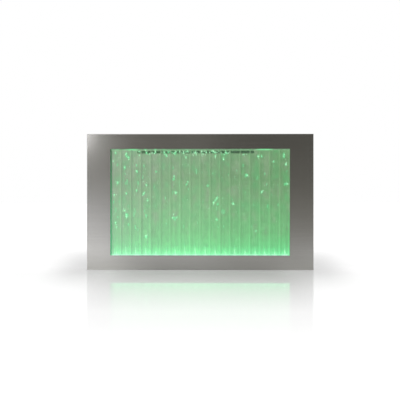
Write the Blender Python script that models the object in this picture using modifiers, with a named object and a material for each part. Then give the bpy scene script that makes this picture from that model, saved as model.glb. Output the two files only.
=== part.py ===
"""Bubble wall panel: a folded steel casing with a window, and behind it a clear water tank with channels.

Air from a pump rises in each channel, and a row of lamps under the tank lights the bubbles. The panel hangs
on a wall rail. X runs along the panel, the front faces -Y, and Z is up. The origin is under the middle of the
panel, on the surface that it stands on.
"""

import math

import bmesh
import bpy
from mathutils import Matrix, Vector

# Driving dimensions of the panel, in metres
PANEL_WIDTH = 1.0
PANEL_HEIGHT = 0.6
CASING_DEPTH = 0.09
WALL_STANDOFF = 0.014
FRAME_SIDE = 0.1035
FRAME_TOP = 0.066
FRAME_BOTTOM = 0.064
CHANNEL_COUNT = 18
SHEET = 0.0015
SEAT_GAP = 0.0003
OVERRUN = 0.002
WELD_DISTANCE = 0.000002

# Front casing: one folded sheet with a lip round its open back
CASING_LIP = 0.015
FOLD_RADIUS = 0.0012

# Back cover and its screws
COVER_INSET = 0.003
SCREW_EDGE = 0.009
SCREW_SHANK_RADIUS = 0.00175
SCREW_SHANK_LENGTH = 0.008
SCREW_HEAD_RADIUS = 0.0037
SCREW_HEAD_HEIGHT = 0.0024
VENT_LENGTH = 0.056
VENT_HEIGHT = 0.003
VENT_PITCH = 0.0085
VENT_COUNT = 11
VENT_EDGE = 0.052
VENT_CENTRE_SHARE = 0.62
VENT_ARC_STEPS = 3

# Water tank of clear sheet. Its walls and bars lie between the front and back panes
PANE = 0.008
GASKET = 0.003
GASKET_BAND = 0.012
GASKET_REVEAL = 0.0015
WATER_GAP = 0.032
TANK_WALL = 0.008
TANK_BAR = 0.012
TANK_REVEAL = 0.0005
TANK_SHIFT = 0.0015
TOP_BAR_SHOW = 0.004
DIVIDER = 0.003
DIVIDER_NOTCH = 0.011
DIVIDER_NOTCH_DEPTH = 0.0145

# Filling and venting slot in the back pane, just under the top bar
SLOT_LENGTH = 0.525
SLOT_HEIGHT = 0.0128
SLOT_CENTRE = -0.0207
SLOT_TOP_GAP = 0.001
SLOT_ARC_STEPS = 5

# Frosted sheet behind the tank
BACKING = 0.003
BACKING_SLOT_GAP = 0.005

# Air bar that lies along the tank floor, with one hole for each channel
AIR_BAR_RADIUS = 0.006
AIR_BAR_BORE = 0.0045
AIR_BAR_SHOW = 0.0023
AIR_HOLE_RADIUS = 0.0008
DIVIDER_FOOT_GAP = 0.0007

# Lamp strip in its extrusion, and the rail that carries the tank
LAMP_PROFILE_HEIGHT = 0.0133
LAMP_PROFILE_WALL = 0.003
LAMP_BOARD_WIDTH = 0.012
LAMP_BOARD = 0.0016
LAMP_SIZE = 0.005
LAMP_HEIGHT = 0.0016
LAMPS_PER_CHANNEL = 2
CRADLE_SHEET = 0.002
CRADLE_FOOT = 0.01
CRADLE_UPSTAND = 0.005

# Trough behind the slot, with the chute that rises to the filling opening
TROUGH_WALL = 0.003
TROUGH_END_MARGIN = 0.012
TROUGH_DROP = 0.003
CHUTE_LENGTH = 0.122
CHUTE_BACK_GAP = 0.0003

# Lid that lies flush in the top of the casing
LID_LEDGE = 0.0015
LID_CLEARANCE = 0.0004
LID_SKIRT = 0.01
LID_SKIRT_WALL = 0.002
LID_SKIRT_CLEARANCE = 0.0006
FINGER_HOLE_RADIUS = 0.009

# Openings in the floor of the casing, one at each end, and the tray over the left one
SERVICE_EDGE = 0.014
SERVICE_LENGTH = 0.074
SERVICE_FRONT = 0.014
SERVICE_BACK = 0.08
TRAY_HEIGHT = 0.024
TRAY_MARGIN = 0.001
TRAY_FLANGE = 0.004

# Mains inlet with the rocker beside it, both facing down
INLET_LENGTH = 0.05
INLET_WIDTH = 0.028
INLET_BEZEL = 0.0025
INLET_BODY_MARGIN = 0.002
INLET_BODY_HEIGHT = 0.028
INLET_DEPTH_PLACE = 0.062
INLET_SIDE_PLACE = 0.051
SOCKET_LENGTH = 0.024
SOCKET_WIDTH = 0.0165
SOCKET_DEPTH = 0.016
SOCKET_OFFSET = 0.0085
PIN_LENGTH = 0.004
PIN_WIDTH = 0.002
PIN_HEIGHT = 0.012
PIN_SPREAD = 0.007
PIN_STAGGER = 0.002
ROCKER_LENGTH = 0.0184
ROCKER_WIDTH = 0.0124
ROCKER_OFFSET = 0.0155
ROCKER_CLEARANCE = 0.0006
ROCKER_WELL = 0.0075
ROCKER_PROUD = 0.0016
ROCKER_BODY = 0.0032
ROCKER_PIVOT = 0.0006
ROCKER_TILT = math.radians(8.0)

# Air valve at the left end of the tank, its knob, and the check valve on top of it
AIR_VALVE_REACH = 0.024
AIR_VALVE_RADIUS = 0.007
AIR_VALVE_BELOW = 0.014
AIR_VALVE_ABOVE = 0.012
NIPPLE_RADIUS = 0.004
NIPPLE_ENTRY = 0.006
NIPPLE_CLEARANCE = 0.0003
FLANGE_RADIUS = 0.008
FLANGE_THICKNESS = 0.003
KNOB_RADIUS = 0.008
KNOB_HEIGHT = 0.013
KNOB_FLUTES = 12
KNOB_FLUTE_RADIUS = 0.0012
KNOB_FLOOR_GAP = 0.005
KNOB_STEM_RADIUS = 0.0025
KNOB_STEM_ENTRY = 0.008
STEM_CLEARANCE = 0.0003
CHECK_RADIUS = 0.009
CHECK_BODY = 0.012
CHECK_NECK = 0.009
CHECK_NECK_RADIUS = 0.004
CHECK_BARB = 0.012
CHECK_BARB_RADIUS = 0.0025

# Air pump on its rubber mount, on the left end of the casing
PUMP_HEIGHT = 0.1
PUMP_WIDTH = 0.046
PUMP_FOOT_SHARE = 0.6
PUMP_PLACE = 0.024
PUMP_MOUNT = 0.005
PUMP_BASE = 0.018
PUMP_COVER = 0.034
PUMP_WALL = 0.0025
PUMP_EDGE = 0.004
PUMP_BARB = 0.012
MOTOR_INSET = 0.005
MOTOR_DEPTH = 0.028
MOTOR_WIDTH = 0.03
MOTOR_COIL_PROUD = 0.002
ARM_PIVOT_DROP = 0.01
ARM_LENGTH = 0.048
ARM_PLACE = 0.014
ARM_WIDTH = 0.008
ARM_THICKNESS = 0.002
ARM_EYE_RADIUS = 0.0035
ARM_PIN_RADIUS = 0.0015
ARM_PIN_CLEARANCE = 0.0001
ARM_AIR_GAP = 0.0009
MAGNET_DEPTH = 0.01
MAGNET_WIDTH = 0.012
MAGNET_HEIGHT = 0.009
EAR_THICKNESS = 0.003
EAR_CLEARANCE = 0.0004
EAR_HEIGHT = 0.009
DIAPHRAGM_RADIUS = 0.012
DIAPHRAGM_RIM = 0.003
DIAPHRAGM_BELLOWS_RADIUS = 0.009
DIAPHRAGM_BELLOWS = 0.005
DIAPHRAGM_STUD_RADIUS = 0.003
DIAPHRAGM_DROP = 0.019
DIAPHRAGM_STROKE_GAP = 0.0008
HOSE_RADIUS = 0.003
HOSE_TOP_GAP = 0.03
HOSE_ARC_STEPS = 14
HOSE_STEP = 0.014

# Lamp driver and the cables
DRIVER_HEIGHT = 0.12
DRIVER_WIDTH = 0.042
DRIVER_THICKNESS = 0.03
DRIVER_LOW = 0.12
DRIVER_PLACE = 0.034
DRIVER_EDGE = 0.002
CABLE_RADIUS = 0.0025
CABLE_STEP = 0.008
CABLE_SPREAD = 0.012
CABLE_SLACK = 0.03

# Drain at the right end of the tank
DRAIN_STEM_REACH = 0.0215
DRAIN_ELBOW_REACH = 0.058
DRAIN_RADIUS = 0.0065
DRAIN_BALL_RADIUS = 0.011
DRAIN_BARB_RADIUS = 0.0055
DRAIN_BORE_RADIUS = 0.0035
DRAIN_BARB_END = 0.006
DRAIN_STEM_RADIUS = 0.003
DRAIN_STEM_ENTRY = 0.004
LEVER_LENGTH = 0.026
LEVER_WIDTH = 0.009
LEVER_THICKNESS = 0.003
LEVER_BOSS_RADIUS = 0.0065
LEVER_DROP = 0.018

# Hanging rail on the cover, the wall rail that it hooks over, and the two bumpers
RAIL_SHEET = 0.0025
RAIL_LENGTH = 0.72
WALL_RAIL_LENGTH = 0.64
RAIL_FLANGE = 0.036
RAIL_HOOK = 0.02
RAIL_TOP = 0.07
RAIL_PLAY = 0.0003
WALL_RAIL_FLANGE = 0.032
RAIL_HOLE_RADIUS = 0.003
RAIL_HOLE_COUNT = 4
BUMPER_RADIUS = 0.015
BUMPER_EDGE = 0.001
BUMPER_SIDE_PLACE = 0.06
BUMPER_HEIGHT_PLACE = 0.06

ROUND_STEPS = 24
SMALL_ROUND_STEPS = 12
TINY_ROUND_STEPS = 8
SHARP_ANGLE = math.radians(35.0)

# Places that follow from the dimensions above
FRONT_Y = -(CASING_DEPTH + WALL_STANDOFF) / 2
BACK_Y = FRONT_Y + CASING_DEPTH
WALL_Y = BACK_Y + WALL_STANDOFF
COVER_Y = BACK_Y + SEAT_GAP
COVER_BACK_Y = COVER_Y + SHEET
LEFT_X = -PANEL_WIDTH / 2 + SHEET
RIGHT_X = PANEL_WIDTH / 2 - SHEET
FLOOR_Z = SHEET
CEILING_Z = PANEL_HEIGHT - SHEET

WINDOW_LEFT = -PANEL_WIDTH / 2 + FRAME_SIDE
WINDOW_RIGHT = PANEL_WIDTH / 2 - FRAME_SIDE
WINDOW_LOW = FRAME_BOTTOM
WINDOW_HIGH = PANEL_HEIGHT - FRAME_TOP

GASKET_Y = FRONT_Y + SHEET + SEAT_GAP
FRONT_PANE_Y = GASKET_Y + GASKET + SEAT_GAP
WATER_Y = FRONT_PANE_Y + PANE + SEAT_GAP
WATER_BACK_Y = WATER_Y + WATER_GAP
BACK_PANE_Y = WATER_BACK_Y + SEAT_GAP
TANK_BACK_Y = BACK_PANE_Y + PANE
MID_WATER_Y = (WATER_Y + WATER_BACK_Y) / 2
BACKING_Y = TANK_BACK_Y + SEAT_GAP

TANK_INNER_LEFT = WINDOW_LEFT + TANK_REVEAL + TANK_SHIFT
TANK_INNER_RIGHT = WINDOW_RIGHT - TANK_REVEAL + TANK_SHIFT
TANK_LEFT = TANK_INNER_LEFT - TANK_WALL
TANK_RIGHT = TANK_INNER_RIGHT + TANK_WALL
CHANNEL_PITCH = (TANK_INNER_RIGHT - TANK_INNER_LEFT) / CHANNEL_COUNT

AIR_BAR_Z = WINDOW_LOW + AIR_BAR_SHOW - AIR_BAR_RADIUS
TANK_FLOOR_Z = AIR_BAR_Z - AIR_BAR_RADIUS - SEAT_GAP
TANK_LOW = TANK_FLOOR_Z - TANK_BAR
TANK_CEILING_Z = WINDOW_HIGH - TOP_BAR_SHOW
TANK_HIGH = TANK_CEILING_Z + TANK_BAR
LAMP_PROFILE_TOP = TANK_LOW - SEAT_GAP
LAMP_PROFILE_LOW = LAMP_PROFILE_TOP - LAMP_PROFILE_HEIGHT
CRADLE_TOP = LAMP_PROFILE_LOW - SEAT_GAP
CRADLE_BACK_Y = BACKING_Y + CRADLE_SHEET

SLOT_HIGH = TANK_CEILING_Z - SLOT_TOP_GAP
SLOT_LOW = SLOT_HIGH - SLOT_HEIGHT
TROUGH_FLOOR_Z = SLOT_LOW - TROUGH_DROP
TROUGH_LEFT = SLOT_CENTRE - SLOT_LENGTH / 2 - TROUGH_END_MARGIN
TROUGH_RIGHT = SLOT_CENTRE + SLOT_LENGTH / 2 + TROUGH_END_MARGIN
CHUTE_LEFT = SLOT_CENTRE - CHUTE_LENGTH / 2
CHUTE_RIGHT = SLOT_CENTRE + CHUTE_LENGTH / 2
CHUTE_BACK_Y = BACK_Y - SHEET - CHUTE_BACK_GAP
CHUTE_TOP_Z = CEILING_Z - SEAT_GAP

AIR_VALVE_X = TANK_LEFT - AIR_VALVE_REACH
AIR_VALVE_LOW = AIR_BAR_Z - AIR_VALVE_BELOW
AIR_VALVE_HIGH = AIR_BAR_Z + AIR_VALVE_ABOVE
CHECK_LOW = AIR_VALVE_HIGH + SEAT_GAP
CHECK_HIGH = CHECK_LOW + CHECK_NECK + CHECK_BODY + CHECK_BARB
TRAY_FLOOR_Z = FLOOR_Z + SEAT_GAP
TRAY_TOP = TRAY_HEIGHT + SHEET
INLET_X = LEFT_X + INLET_SIDE_PLACE
INLET_Y = FRONT_Y + INLET_DEPTH_PLACE
INLET_TOP = TRAY_HEIGHT - SEAT_GAP
INLET_FACE_Z = INLET_TOP - INLET_BEZEL
INLET_BODY_TOP = INLET_TOP + INLET_BODY_HEIGHT

PUMP_MOUNT_X = LEFT_X + SEAT_GAP
PUMP_BASE_X = PUMP_MOUNT_X + PUMP_MOUNT + SEAT_GAP
PUMP_COVER_X = PUMP_BASE_X + PUMP_BASE + SEAT_GAP
PUMP_Y = FRONT_Y + PUMP_PLACE
PUMP_LOW = PANEL_HEIGHT * PUMP_FOOT_SHARE
PUMP_HIGH = PUMP_LOW + PUMP_HEIGHT
PUMP_MIDDLE_Y = PUMP_Y + PUMP_WIDTH / 2
PUMP_OUTLET_X = PUMP_BASE_X + PUMP_BASE / 2
PUMP_OUTLET_Z = PUMP_HIGH + PUMP_BARB
ARM_X = PUMP_COVER_X + ARM_PLACE
ARM_PIVOT_Z = PUMP_HIGH - ARM_PIVOT_DROP
MOTOR_HIGH = ARM_PIVOT_Z - ARM_LENGTH - ARM_AIR_GAP
DRIVER_X = LEFT_X + SEAT_GAP
DRIVER_Y = FRONT_Y + DRIVER_PLACE

DRAIN_STEM_X = TANK_RIGHT + DRAIN_STEM_REACH
DRAIN_ELBOW_X = TANK_RIGHT + DRAIN_ELBOW_REACH
LEVER_Z = AIR_BAR_Z - DRAIN_BALL_RADIUS - LEVER_DROP

# The two rails share one slope: hook and upright pass each other in the standoff
HANGER_Y = COVER_BACK_Y + SEAT_GAP
WALL_RAIL_Y = WALL_Y - RAIL_SHEET
HOOK_OUTER_Y = WALL_RAIL_Y - RAIL_SHEET / 2
HOOK_Y = HOOK_OUTER_Y - RAIL_SHEET
UPRIGHT_Y = HOOK_Y - RAIL_PLAY - RAIL_SHEET
RAIL_BEND = RAIL_SHEET * (math.sqrt(2.0) - 1.0)
HANGER_HIGH = PANEL_HEIGHT - RAIL_TOP
HANGER_BEND_Z = HANGER_HIGH - RAIL_FLANGE
HANGER_JOG = HOOK_Y - HANGER_Y
HOOK_HIGH = HANGER_BEND_Z - HANGER_JOG
HOOK_LOW = HOOK_HIGH - RAIL_HOOK
UPRIGHT_HIGH = HANGER_BEND_Z - (UPRIGHT_Y + RAIL_SHEET - HANGER_Y) - RAIL_PLAY
WALL_JOG = WALL_RAIL_Y - UPRIGHT_Y
WALL_BEND_Z = HOOK_LOW - SEAT_GAP - (WALL_Y - HOOK_Y)
WALL_RAIL_LOW = WALL_BEND_Z - WALL_RAIL_FLANGE
BUMPER_X = PANEL_WIDTH / 2 - BUMPER_SIDE_PLACE


def clear_scene():
    for leftover in list(bpy.data.objects):
        bpy.data.objects.remove(leftover)


def new_collection(name):
    made = bpy.data.collections.new(name)
    bpy.context.scene.collection.children.link(made)
    return made


clear_scene()
PARTS = new_collection("bubble_wall_panel")
CUTTERS = new_collection("cutters")
ASSEMBLY = bpy.data.objects.new("panel_origin", None)
PARTS.objects.link(ASSEMBLY)


def new_material(name, colour, roughness, metallic=0.0, alpha=1.0):
    made = bpy.data.materials.new(name)
    made.use_nodes = True
    shader = made.node_tree.nodes["Principled BSDF"]
    shader.inputs["Base Color"].default_value = (*colour, 1.0)
    shader.inputs["Roughness"].default_value = roughness
    shader.inputs["Metallic"].default_value = metallic
    shader.inputs["Alpha"].default_value = alpha
    made.diffuse_color = (*colour, alpha)
    return made


BRUSHED_STEEL = new_material("brushed_steel", (0.32, 0.315, 0.30), 0.32, metallic=1.0)
PLATED_STEEL = new_material("plated_steel", (0.48, 0.49, 0.5), 0.45, metallic=1.0)
CLEAR_ACRYLIC = new_material("clear_acrylic", (0.62, 0.85, 0.66), 0.05, alpha=0.4)
FROSTED_SHEET = new_material("frosted_sheet", (0.3, 0.52, 0.31), 0.6)
ALUMINIUM = new_material("aluminium", (0.6, 0.6, 0.6), 0.35, metallic=1.0)
BLACK_RUBBER = new_material("black_rubber", (0.02, 0.02, 0.02), 0.8)
BLACK_PLASTIC = new_material("black_plastic", (0.03, 0.03, 0.032), 0.45)
GREY_PLASTIC = new_material("grey_plastic", (0.22, 0.23, 0.24), 0.5)
CIRCUIT_BOARD = new_material("circuit_board", (0.75, 0.76, 0.74), 0.5)
CLEAR_HOSE = new_material("clear_hose", (0.7, 0.75, 0.74), 0.3, alpha=0.6)
BRASS = new_material("brass", (0.62, 0.45, 0.16), 0.35, metallic=1.0)


def new_object(name, mesh, material=None):
    made = bpy.data.objects.new(name, mesh)
    if material is None:
        CUTTERS.objects.link(made)
        hide_helper(made)
    else:
        PARTS.objects.link(made)
        mesh.materials.append(material)
        made.parent = ASSEMBLY
    return made


def hide_helper(helper):
    helper.hide_render = True
    helper.display_type = "WIRE"


def mesh_from(name, shape):
    mesh = bpy.data.meshes.new(name)
    shape.to_mesh(mesh)
    shape.free()
    return mesh


def add_bevel(part, width, segments=2):
    bevel = part.modifiers.new("edge_radius", "BEVEL")
    bevel.width = width
    bevel.segments = segments
    bevel.limit_method = "ANGLE"
    return part


def slab(name, low, high, material=None, edge=0.0):
    """A box between two corners, with its origin in the middle."""
    low, high = Vector(low), Vector(high)
    shape = bmesh.new()
    bmesh.ops.create_cube(shape, size=1.0, matrix=Matrix.Diagonal((*(high - low), 1.0)))
    part = new_object(name, mesh_from(name, shape), material)
    part.location = (low + high) / 2
    if edge:
        add_bevel(part, edge)
    return part


AXIS_TURNS = {
    "X": Matrix.Rotation(math.pi / 2, 4, "Y"),
    "Y": Matrix.Rotation(-math.pi / 2, 4, "X"),
    "Z": Matrix.Identity(4),
}


def rod(name, radius, start, end, axis, material=None, steps=ROUND_STEPS):
    """A cylinder that runs from start to end along one axis."""
    start, end = Vector(start), Vector(end)
    shape = bmesh.new()
    bmesh.ops.create_cone(
        shape,
        cap_ends=True,
        segments=steps,
        radius1=radius,
        radius2=radius,
        depth=(end - start).length,
        matrix=AXIS_TURNS[axis],
    )
    part = new_object(name, mesh_from(name, shape), material)
    part.location = (start + end) / 2
    part.data.shade_smooth()
    part.data.set_sharp_from_angle(angle=SHARP_ANGLE)
    return part


def cut(part, *tools):
    return combine(part, "DIFFERENCE", tools)


def fuse(part, *pieces):
    return combine(part, "UNION", pieces)


def combine(part, operation, others):
    for other in others:
        step = part.modifiers.new(other.name, "BOOLEAN")
        step.operation = operation
        step.solver = "EXACT"
        step.object = other
    return part


def outline_curve(name, points, thickness):
    """A closed flat outline in the curve's own XY plane, given half its thickness to each side."""
    curve = bpy.data.curves.new(name, "CURVE")
    curve.dimensions = "2D"
    curve.fill_mode = "BOTH"
    curve.extrude = thickness / 2
    spline = curve.splines.new("POLY")
    spline.points.add(len(points) - 1)
    for place, (across, up) in zip(spline.points, points):
        place.co = (across, up, 0.0, 1.0)
    spline.use_cyclic_u = True
    return bpy.data.objects.new(name, curve)


def mesh_of_curve(guide):
    """The guide's evaluated shape as a mesh with its caps welded. The guide is removed."""
    bpy.context.scene.collection.objects.link(guide)
    bpy.context.view_layer.update()
    evaluated = guide.evaluated_get(bpy.context.evaluated_depsgraph_get())
    mesh = bpy.data.meshes.new_from_object(evaluated)
    curve = guide.data
    bpy.data.objects.remove(guide)
    bpy.data.curves.remove(curve)
    shape = bmesh.new()
    shape.from_mesh(mesh)
    bmesh.ops.remove_doubles(shape, verts=shape.verts, dist=WELD_DISTANCE)
    bmesh.ops.recalc_face_normals(shape, faces=shape.faces)
    shape.to_mesh(mesh)
    shape.free()
    mesh.materials.clear()
    return mesh


CURVE_TURNS = {
    "X": Matrix(((0, 0, 1), (1, 0, 0), (0, 1, 0))).to_euler(),
    "Y": Matrix(((1, 0, 0), (0, 0, -1), (0, 1, 0))).to_euler(),
    "Z": Matrix.Identity(3).to_euler(),
}


def prism(name, points, thickness, middle, axis, material=None):
    """A flat outline with thickness along one axis: points (y, z) along X, (x, z) along Y, (x, y) along Z."""
    part = new_object(name, mesh_of_curve(outline_curve(name, points, thickness)), material)
    part.rotation_euler = CURVE_TURNS[axis]
    part.location = middle
    return part


def stadium(length, height, across, up, steps=SLOT_ARC_STEPS):
    """Points of a slot with round ends about the point (across, up)."""
    radius = height / 2
    straight = length / 2 - radius
    points = []
    for side, first in ((1.0, -math.pi / 2), (-1.0, math.pi / 2)):
        for step in range(steps + 1):
            turn = first + math.pi * step / steps
            points.append((across + side * straight + radius * math.cos(turn), up + radius * math.sin(turn)))
    return points


def tube(name, points, radius, material, resolution=2):
    """A round cable or hose along a line of points, with flat ends."""
    curve = bpy.data.curves.new(name, "CURVE")
    curve.dimensions = "3D"
    curve.bevel_depth = radius
    curve.bevel_resolution = resolution
    curve.use_fill_caps = True
    spline = curve.splines.new("POLY")
    spline.points.add(len(points) - 1)
    for place, point in zip(spline.points, points):
        place.co = (*point, 1.0)
    curve.materials.append(material)
    part = bpy.data.objects.new(name, curve)
    PARTS.objects.link(part)
    part.parent = ASSEMBLY
    return part


def smooth_route(corners, step):
    """Points about a step apart: straight from the first corner and into the last, smooth between."""
    corners = [Vector(corner) for corner in corners]
    start, *inner, end = corners
    leaving = (inner[0] - start).normalized() * (inner[1] - inner[0]).length
    arriving = (end - inner[-1]).normalized() * (inner[-1] - inner[-2]).length
    padded = [inner[1] - leaving * 2, *inner, inner[-2] + arriving * 2]
    points = [start, inner[0]]
    for before, near, far, after in zip(padded, padded[1:], padded[2:], padded[3:]):
        count = max(2, round((far - near).length / step))
        for index in range(1, count + 1):
            t = index / count
            straight = near * 2 + (far - before) * t
            bend = (before * 2 - near * 5 + far * 4 - after) * t**2
            twist = (near * 3 - before - far * 3 + after) * t**3
            points.append((straight + bend + twist) / 2)
    points.append(end)
    return points


def move_origin(part, point):
    """Puts the origin of a moving part on its joint, with its shape left where it is."""
    shift = part.location - Vector(point)
    part.data.transform(Matrix.Translation(part.rotation_euler.to_matrix().inverted() @ shift))
    part.location = point
    return part


def channel_middle(index):
    return TANK_INNER_LEFT + (index + 1 / 2) * CHANNEL_PITCH


def service_opening(name, left):
    """Cutter for the opening in the casing floor that starts at left."""
    return slab(
        name,
        (left, FRONT_Y + SERVICE_FRONT, -OVERRUN),
        (left + SERVICE_LENGTH, FRONT_Y + SERVICE_BACK, FLOOR_Z + OVERRUN),
    )


def screw_places():
    """The four corners of the back cover."""
    for x in (-PANEL_WIDTH / 2 + SCREW_EDGE, PANEL_WIDTH / 2 - SCREW_EDGE):
        for z in (SCREW_EDGE, PANEL_HEIGHT - SCREW_EDGE):
            yield x, z


def screw_hole(name, x, z):
    radius = SCREW_SHANK_RADIUS + SEAT_GAP
    start = (x, BACK_Y - SHEET - OVERRUN, z)
    return rod(name, radius, start, (x, COVER_BACK_Y + OVERRUN, z), "Y", steps=SMALL_ROUND_STEPS)


def build_front_casing():
    casing = slab(
        "front_casing",
        (-PANEL_WIDTH / 2, FRONT_Y, 0.0),
        (PANEL_WIDTH / 2, BACK_Y, PANEL_HEIGHT),
        BRUSHED_STEEL,
        edge=FOLD_RADIUS,
    )
    hollow = slab("casing_hollow", (LEFT_X, FRONT_Y + SHEET, FLOOR_Z), (RIGHT_X, BACK_Y - SHEET, CEILING_Z))
    back = slab(
        "casing_back_opening",
        (-PANEL_WIDTH / 2 + CASING_LIP, BACK_Y - SHEET - OVERRUN, CASING_LIP),
        (PANEL_WIDTH / 2 - CASING_LIP, BACK_Y + OVERRUN, PANEL_HEIGHT - CASING_LIP),
    )
    window = slab(
        "casing_window",
        (WINDOW_LEFT, FRONT_Y - OVERRUN, WINDOW_LOW),
        (WINDOW_RIGHT, FRONT_Y + SHEET + OVERRUN, WINDOW_HIGH),
    )
    inset = TROUGH_WALL - LID_LEDGE
    filling = slab(
        "casing_fill_opening",
        (CHUTE_LEFT + inset, BACKING_Y + inset, CEILING_Z - OVERRUN),
        (CHUTE_RIGHT - inset, CHUTE_BACK_Y - inset, PANEL_HEIGHT + OVERRUN),
    )
    left = service_opening("casing_service_opening", -PANEL_WIDTH / 2 + SERVICE_EDGE)
    right = service_opening("casing_drain_opening", PANEL_WIDTH / 2 - SERVICE_EDGE - SERVICE_LENGTH)
    cut(casing, hollow, back, window, filling, left, right)
    for index, (x, z) in enumerate(screw_places(), 1):
        cut(casing, screw_hole(f"lip_hole_{index}", x, z))


def vent_slots(name, x):
    """One cutter with a column of vent slots about the line at x."""
    middle = PANEL_HEIGHT * VENT_CENTRE_SHARE
    thickness = SHEET + 2 * OVERRUN
    shape = bmesh.new()
    for index in range(VENT_COUNT):
        up = middle + (index - (VENT_COUNT - 1) / 2) * VENT_PITCH
        outline = stadium(VENT_LENGTH, VENT_HEIGHT, x, up, VENT_ARC_STEPS)
        slot = mesh_of_curve(outline_curve(name, outline, thickness))
        shape.from_mesh(slot)
    tool = new_object(name, mesh_from(name, shape))
    tool.rotation_euler = CURVE_TURNS["Y"]
    tool.location = (0.0, (COVER_Y + COVER_BACK_Y) / 2, 0.0)
    return tool


def build_back_cover():
    cover = slab(
        "back_cover",
        (-PANEL_WIDTH / 2 + COVER_INSET, COVER_Y, COVER_INSET),
        (PANEL_WIDTH / 2 - COVER_INSET, COVER_BACK_Y, PANEL_HEIGHT - COVER_INSET),
        PLATED_STEEL,
    )
    vents_x = PANEL_WIDTH / 2 - VENT_EDGE
    cut(cover, vent_slots("left_vents", -vents_x), vent_slots("right_vents", vents_x))
    for index, (x, z) in enumerate(screw_places(), 1):
        cut(cover, screw_hole(f"cover_hole_{index}", x, z))
        build_cover_screw(index, x, z)


def build_cover_screw(index, x, z):
    """Pan head with a shank, turned about its own axis."""
    head_y = COVER_BACK_Y + SEAT_GAP
    shoulder = SCREW_HEAD_HEIGHT / 2
    profile = (
        (0.0, SCREW_HEAD_HEIGHT),
        (SCREW_HEAD_RADIUS / 2, SCREW_HEAD_HEIGHT),
        (SCREW_HEAD_RADIUS, shoulder),
        (SCREW_HEAD_RADIUS, 0.0),
        (SCREW_SHANK_RADIUS, 0.0),
        (SCREW_SHANK_RADIUS, -SCREW_SHANK_LENGTH + SCREW_SHANK_RADIUS),
        (0.0, -SCREW_SHANK_LENGTH),
    )
    screw = turned(f"cover_screw_{index}", profile, PLATED_STEEL, SMALL_ROUND_STEPS)
    screw.rotation_euler = AXIS_TURNS["Y"].to_euler()
    screw.location = (x, head_y, z)


def turned(name, profile, material, steps=ROUND_STEPS):
    """A profile of (radius, height) points, outer side from top to bottom, turned about the part's Z axis."""
    mesh = bpy.data.meshes.new(name)
    points = [(radius, 0.0, height) for radius, height in profile]
    mesh.from_pydata(points, [(index, index + 1) for index in range(len(points) - 1)], [])
    part = new_object(name, mesh, material)
    screw = part.modifiers.new("turn", "SCREW")
    screw.steps = steps
    screw.render_steps = steps
    screw.use_merge_vertices = True
    screw.merge_threshold = WELD_DISTANCE
    screw.use_smooth_shade = True
    return part


def build_gasket():
    outer_left, outer_right = WINDOW_LEFT - GASKET_BAND, WINDOW_RIGHT + GASKET_BAND
    gasket = slab(
        "window_gasket",
        (outer_left, GASKET_Y, WINDOW_LOW - GASKET_BAND),
        (outer_right, GASKET_Y + GASKET, WINDOW_HIGH + GASKET_BAND),
        BLACK_RUBBER,
    )
    hole = slab(
        "gasket_hole",
        (WINDOW_LEFT - GASKET_REVEAL, GASKET_Y - OVERRUN, WINDOW_LOW - GASKET_REVEAL),
        (WINDOW_RIGHT + GASKET_REVEAL, GASKET_Y + GASKET + OVERRUN, WINDOW_HIGH + GASKET_REVEAL),
    )
    cut(gasket, hole)


def nipple_hole(name, start_x, end_x):
    """Cutter for the round hole that a nipple passes in an end wall of the tank."""
    radius = NIPPLE_RADIUS + NIPPLE_CLEARANCE
    return rod(name, radius, (start_x, MID_WATER_Y, AIR_BAR_Z), (end_x, MID_WATER_Y, AIR_BAR_Z), "X")


def build_tank():
    slab(
        "tank_front_pane",
        (TANK_LEFT, FRONT_PANE_Y, TANK_LOW),
        (TANK_RIGHT, FRONT_PANE_Y + PANE, TANK_HIGH),
        CLEAR_ACRYLIC,
    )
    back = slab(
        "tank_back_pane",
        (TANK_LEFT, BACK_PANE_Y, TANK_LOW),
        (TANK_RIGHT, TANK_BACK_Y, TANK_HIGH),
        FROSTED_SHEET,
    )
    slot = prism(
        "back_pane_slot",
        stadium(SLOT_LENGTH, SLOT_HEIGHT, 0.0, 0.0),
        PANE + 2 * OVERRUN,
        (SLOT_CENTRE, (BACK_PANE_Y + TANK_BACK_Y) / 2, (SLOT_LOW + SLOT_HIGH) / 2),
        "Y",
    )
    cut(back, slot)
    left = slab(
        "tank_left_wall",
        (TANK_LEFT, WATER_Y, TANK_LOW),
        (TANK_INNER_LEFT, WATER_BACK_Y, TANK_HIGH),
        CLEAR_ACRYLIC,
    )
    cut(left, nipple_hole("air_nipple_hole", TANK_LEFT - OVERRUN, TANK_INNER_LEFT + OVERRUN))
    right = slab(
        "tank_right_wall",
        (TANK_INNER_RIGHT, WATER_Y, TANK_LOW),
        (TANK_RIGHT, WATER_BACK_Y, TANK_HIGH),
        CLEAR_ACRYLIC,
    )
    cut(right, nipple_hole("drain_nipple_hole", TANK_INNER_RIGHT - OVERRUN, TANK_RIGHT + OVERRUN))
    bar_left, bar_right = TANK_INNER_LEFT + SEAT_GAP, TANK_INNER_RIGHT - SEAT_GAP
    slab(
        "tank_bottom_bar",
        (bar_left, WATER_Y, TANK_LOW),
        (bar_right, WATER_BACK_Y, TANK_FLOOR_Z),
        CLEAR_ACRYLIC,
    )
    slab(
        "tank_top_bar",
        (bar_left, WATER_Y, TANK_CEILING_Z),
        (bar_right, WATER_BACK_Y, TANK_HIGH),
        CLEAR_ACRYLIC,
    )


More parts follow.
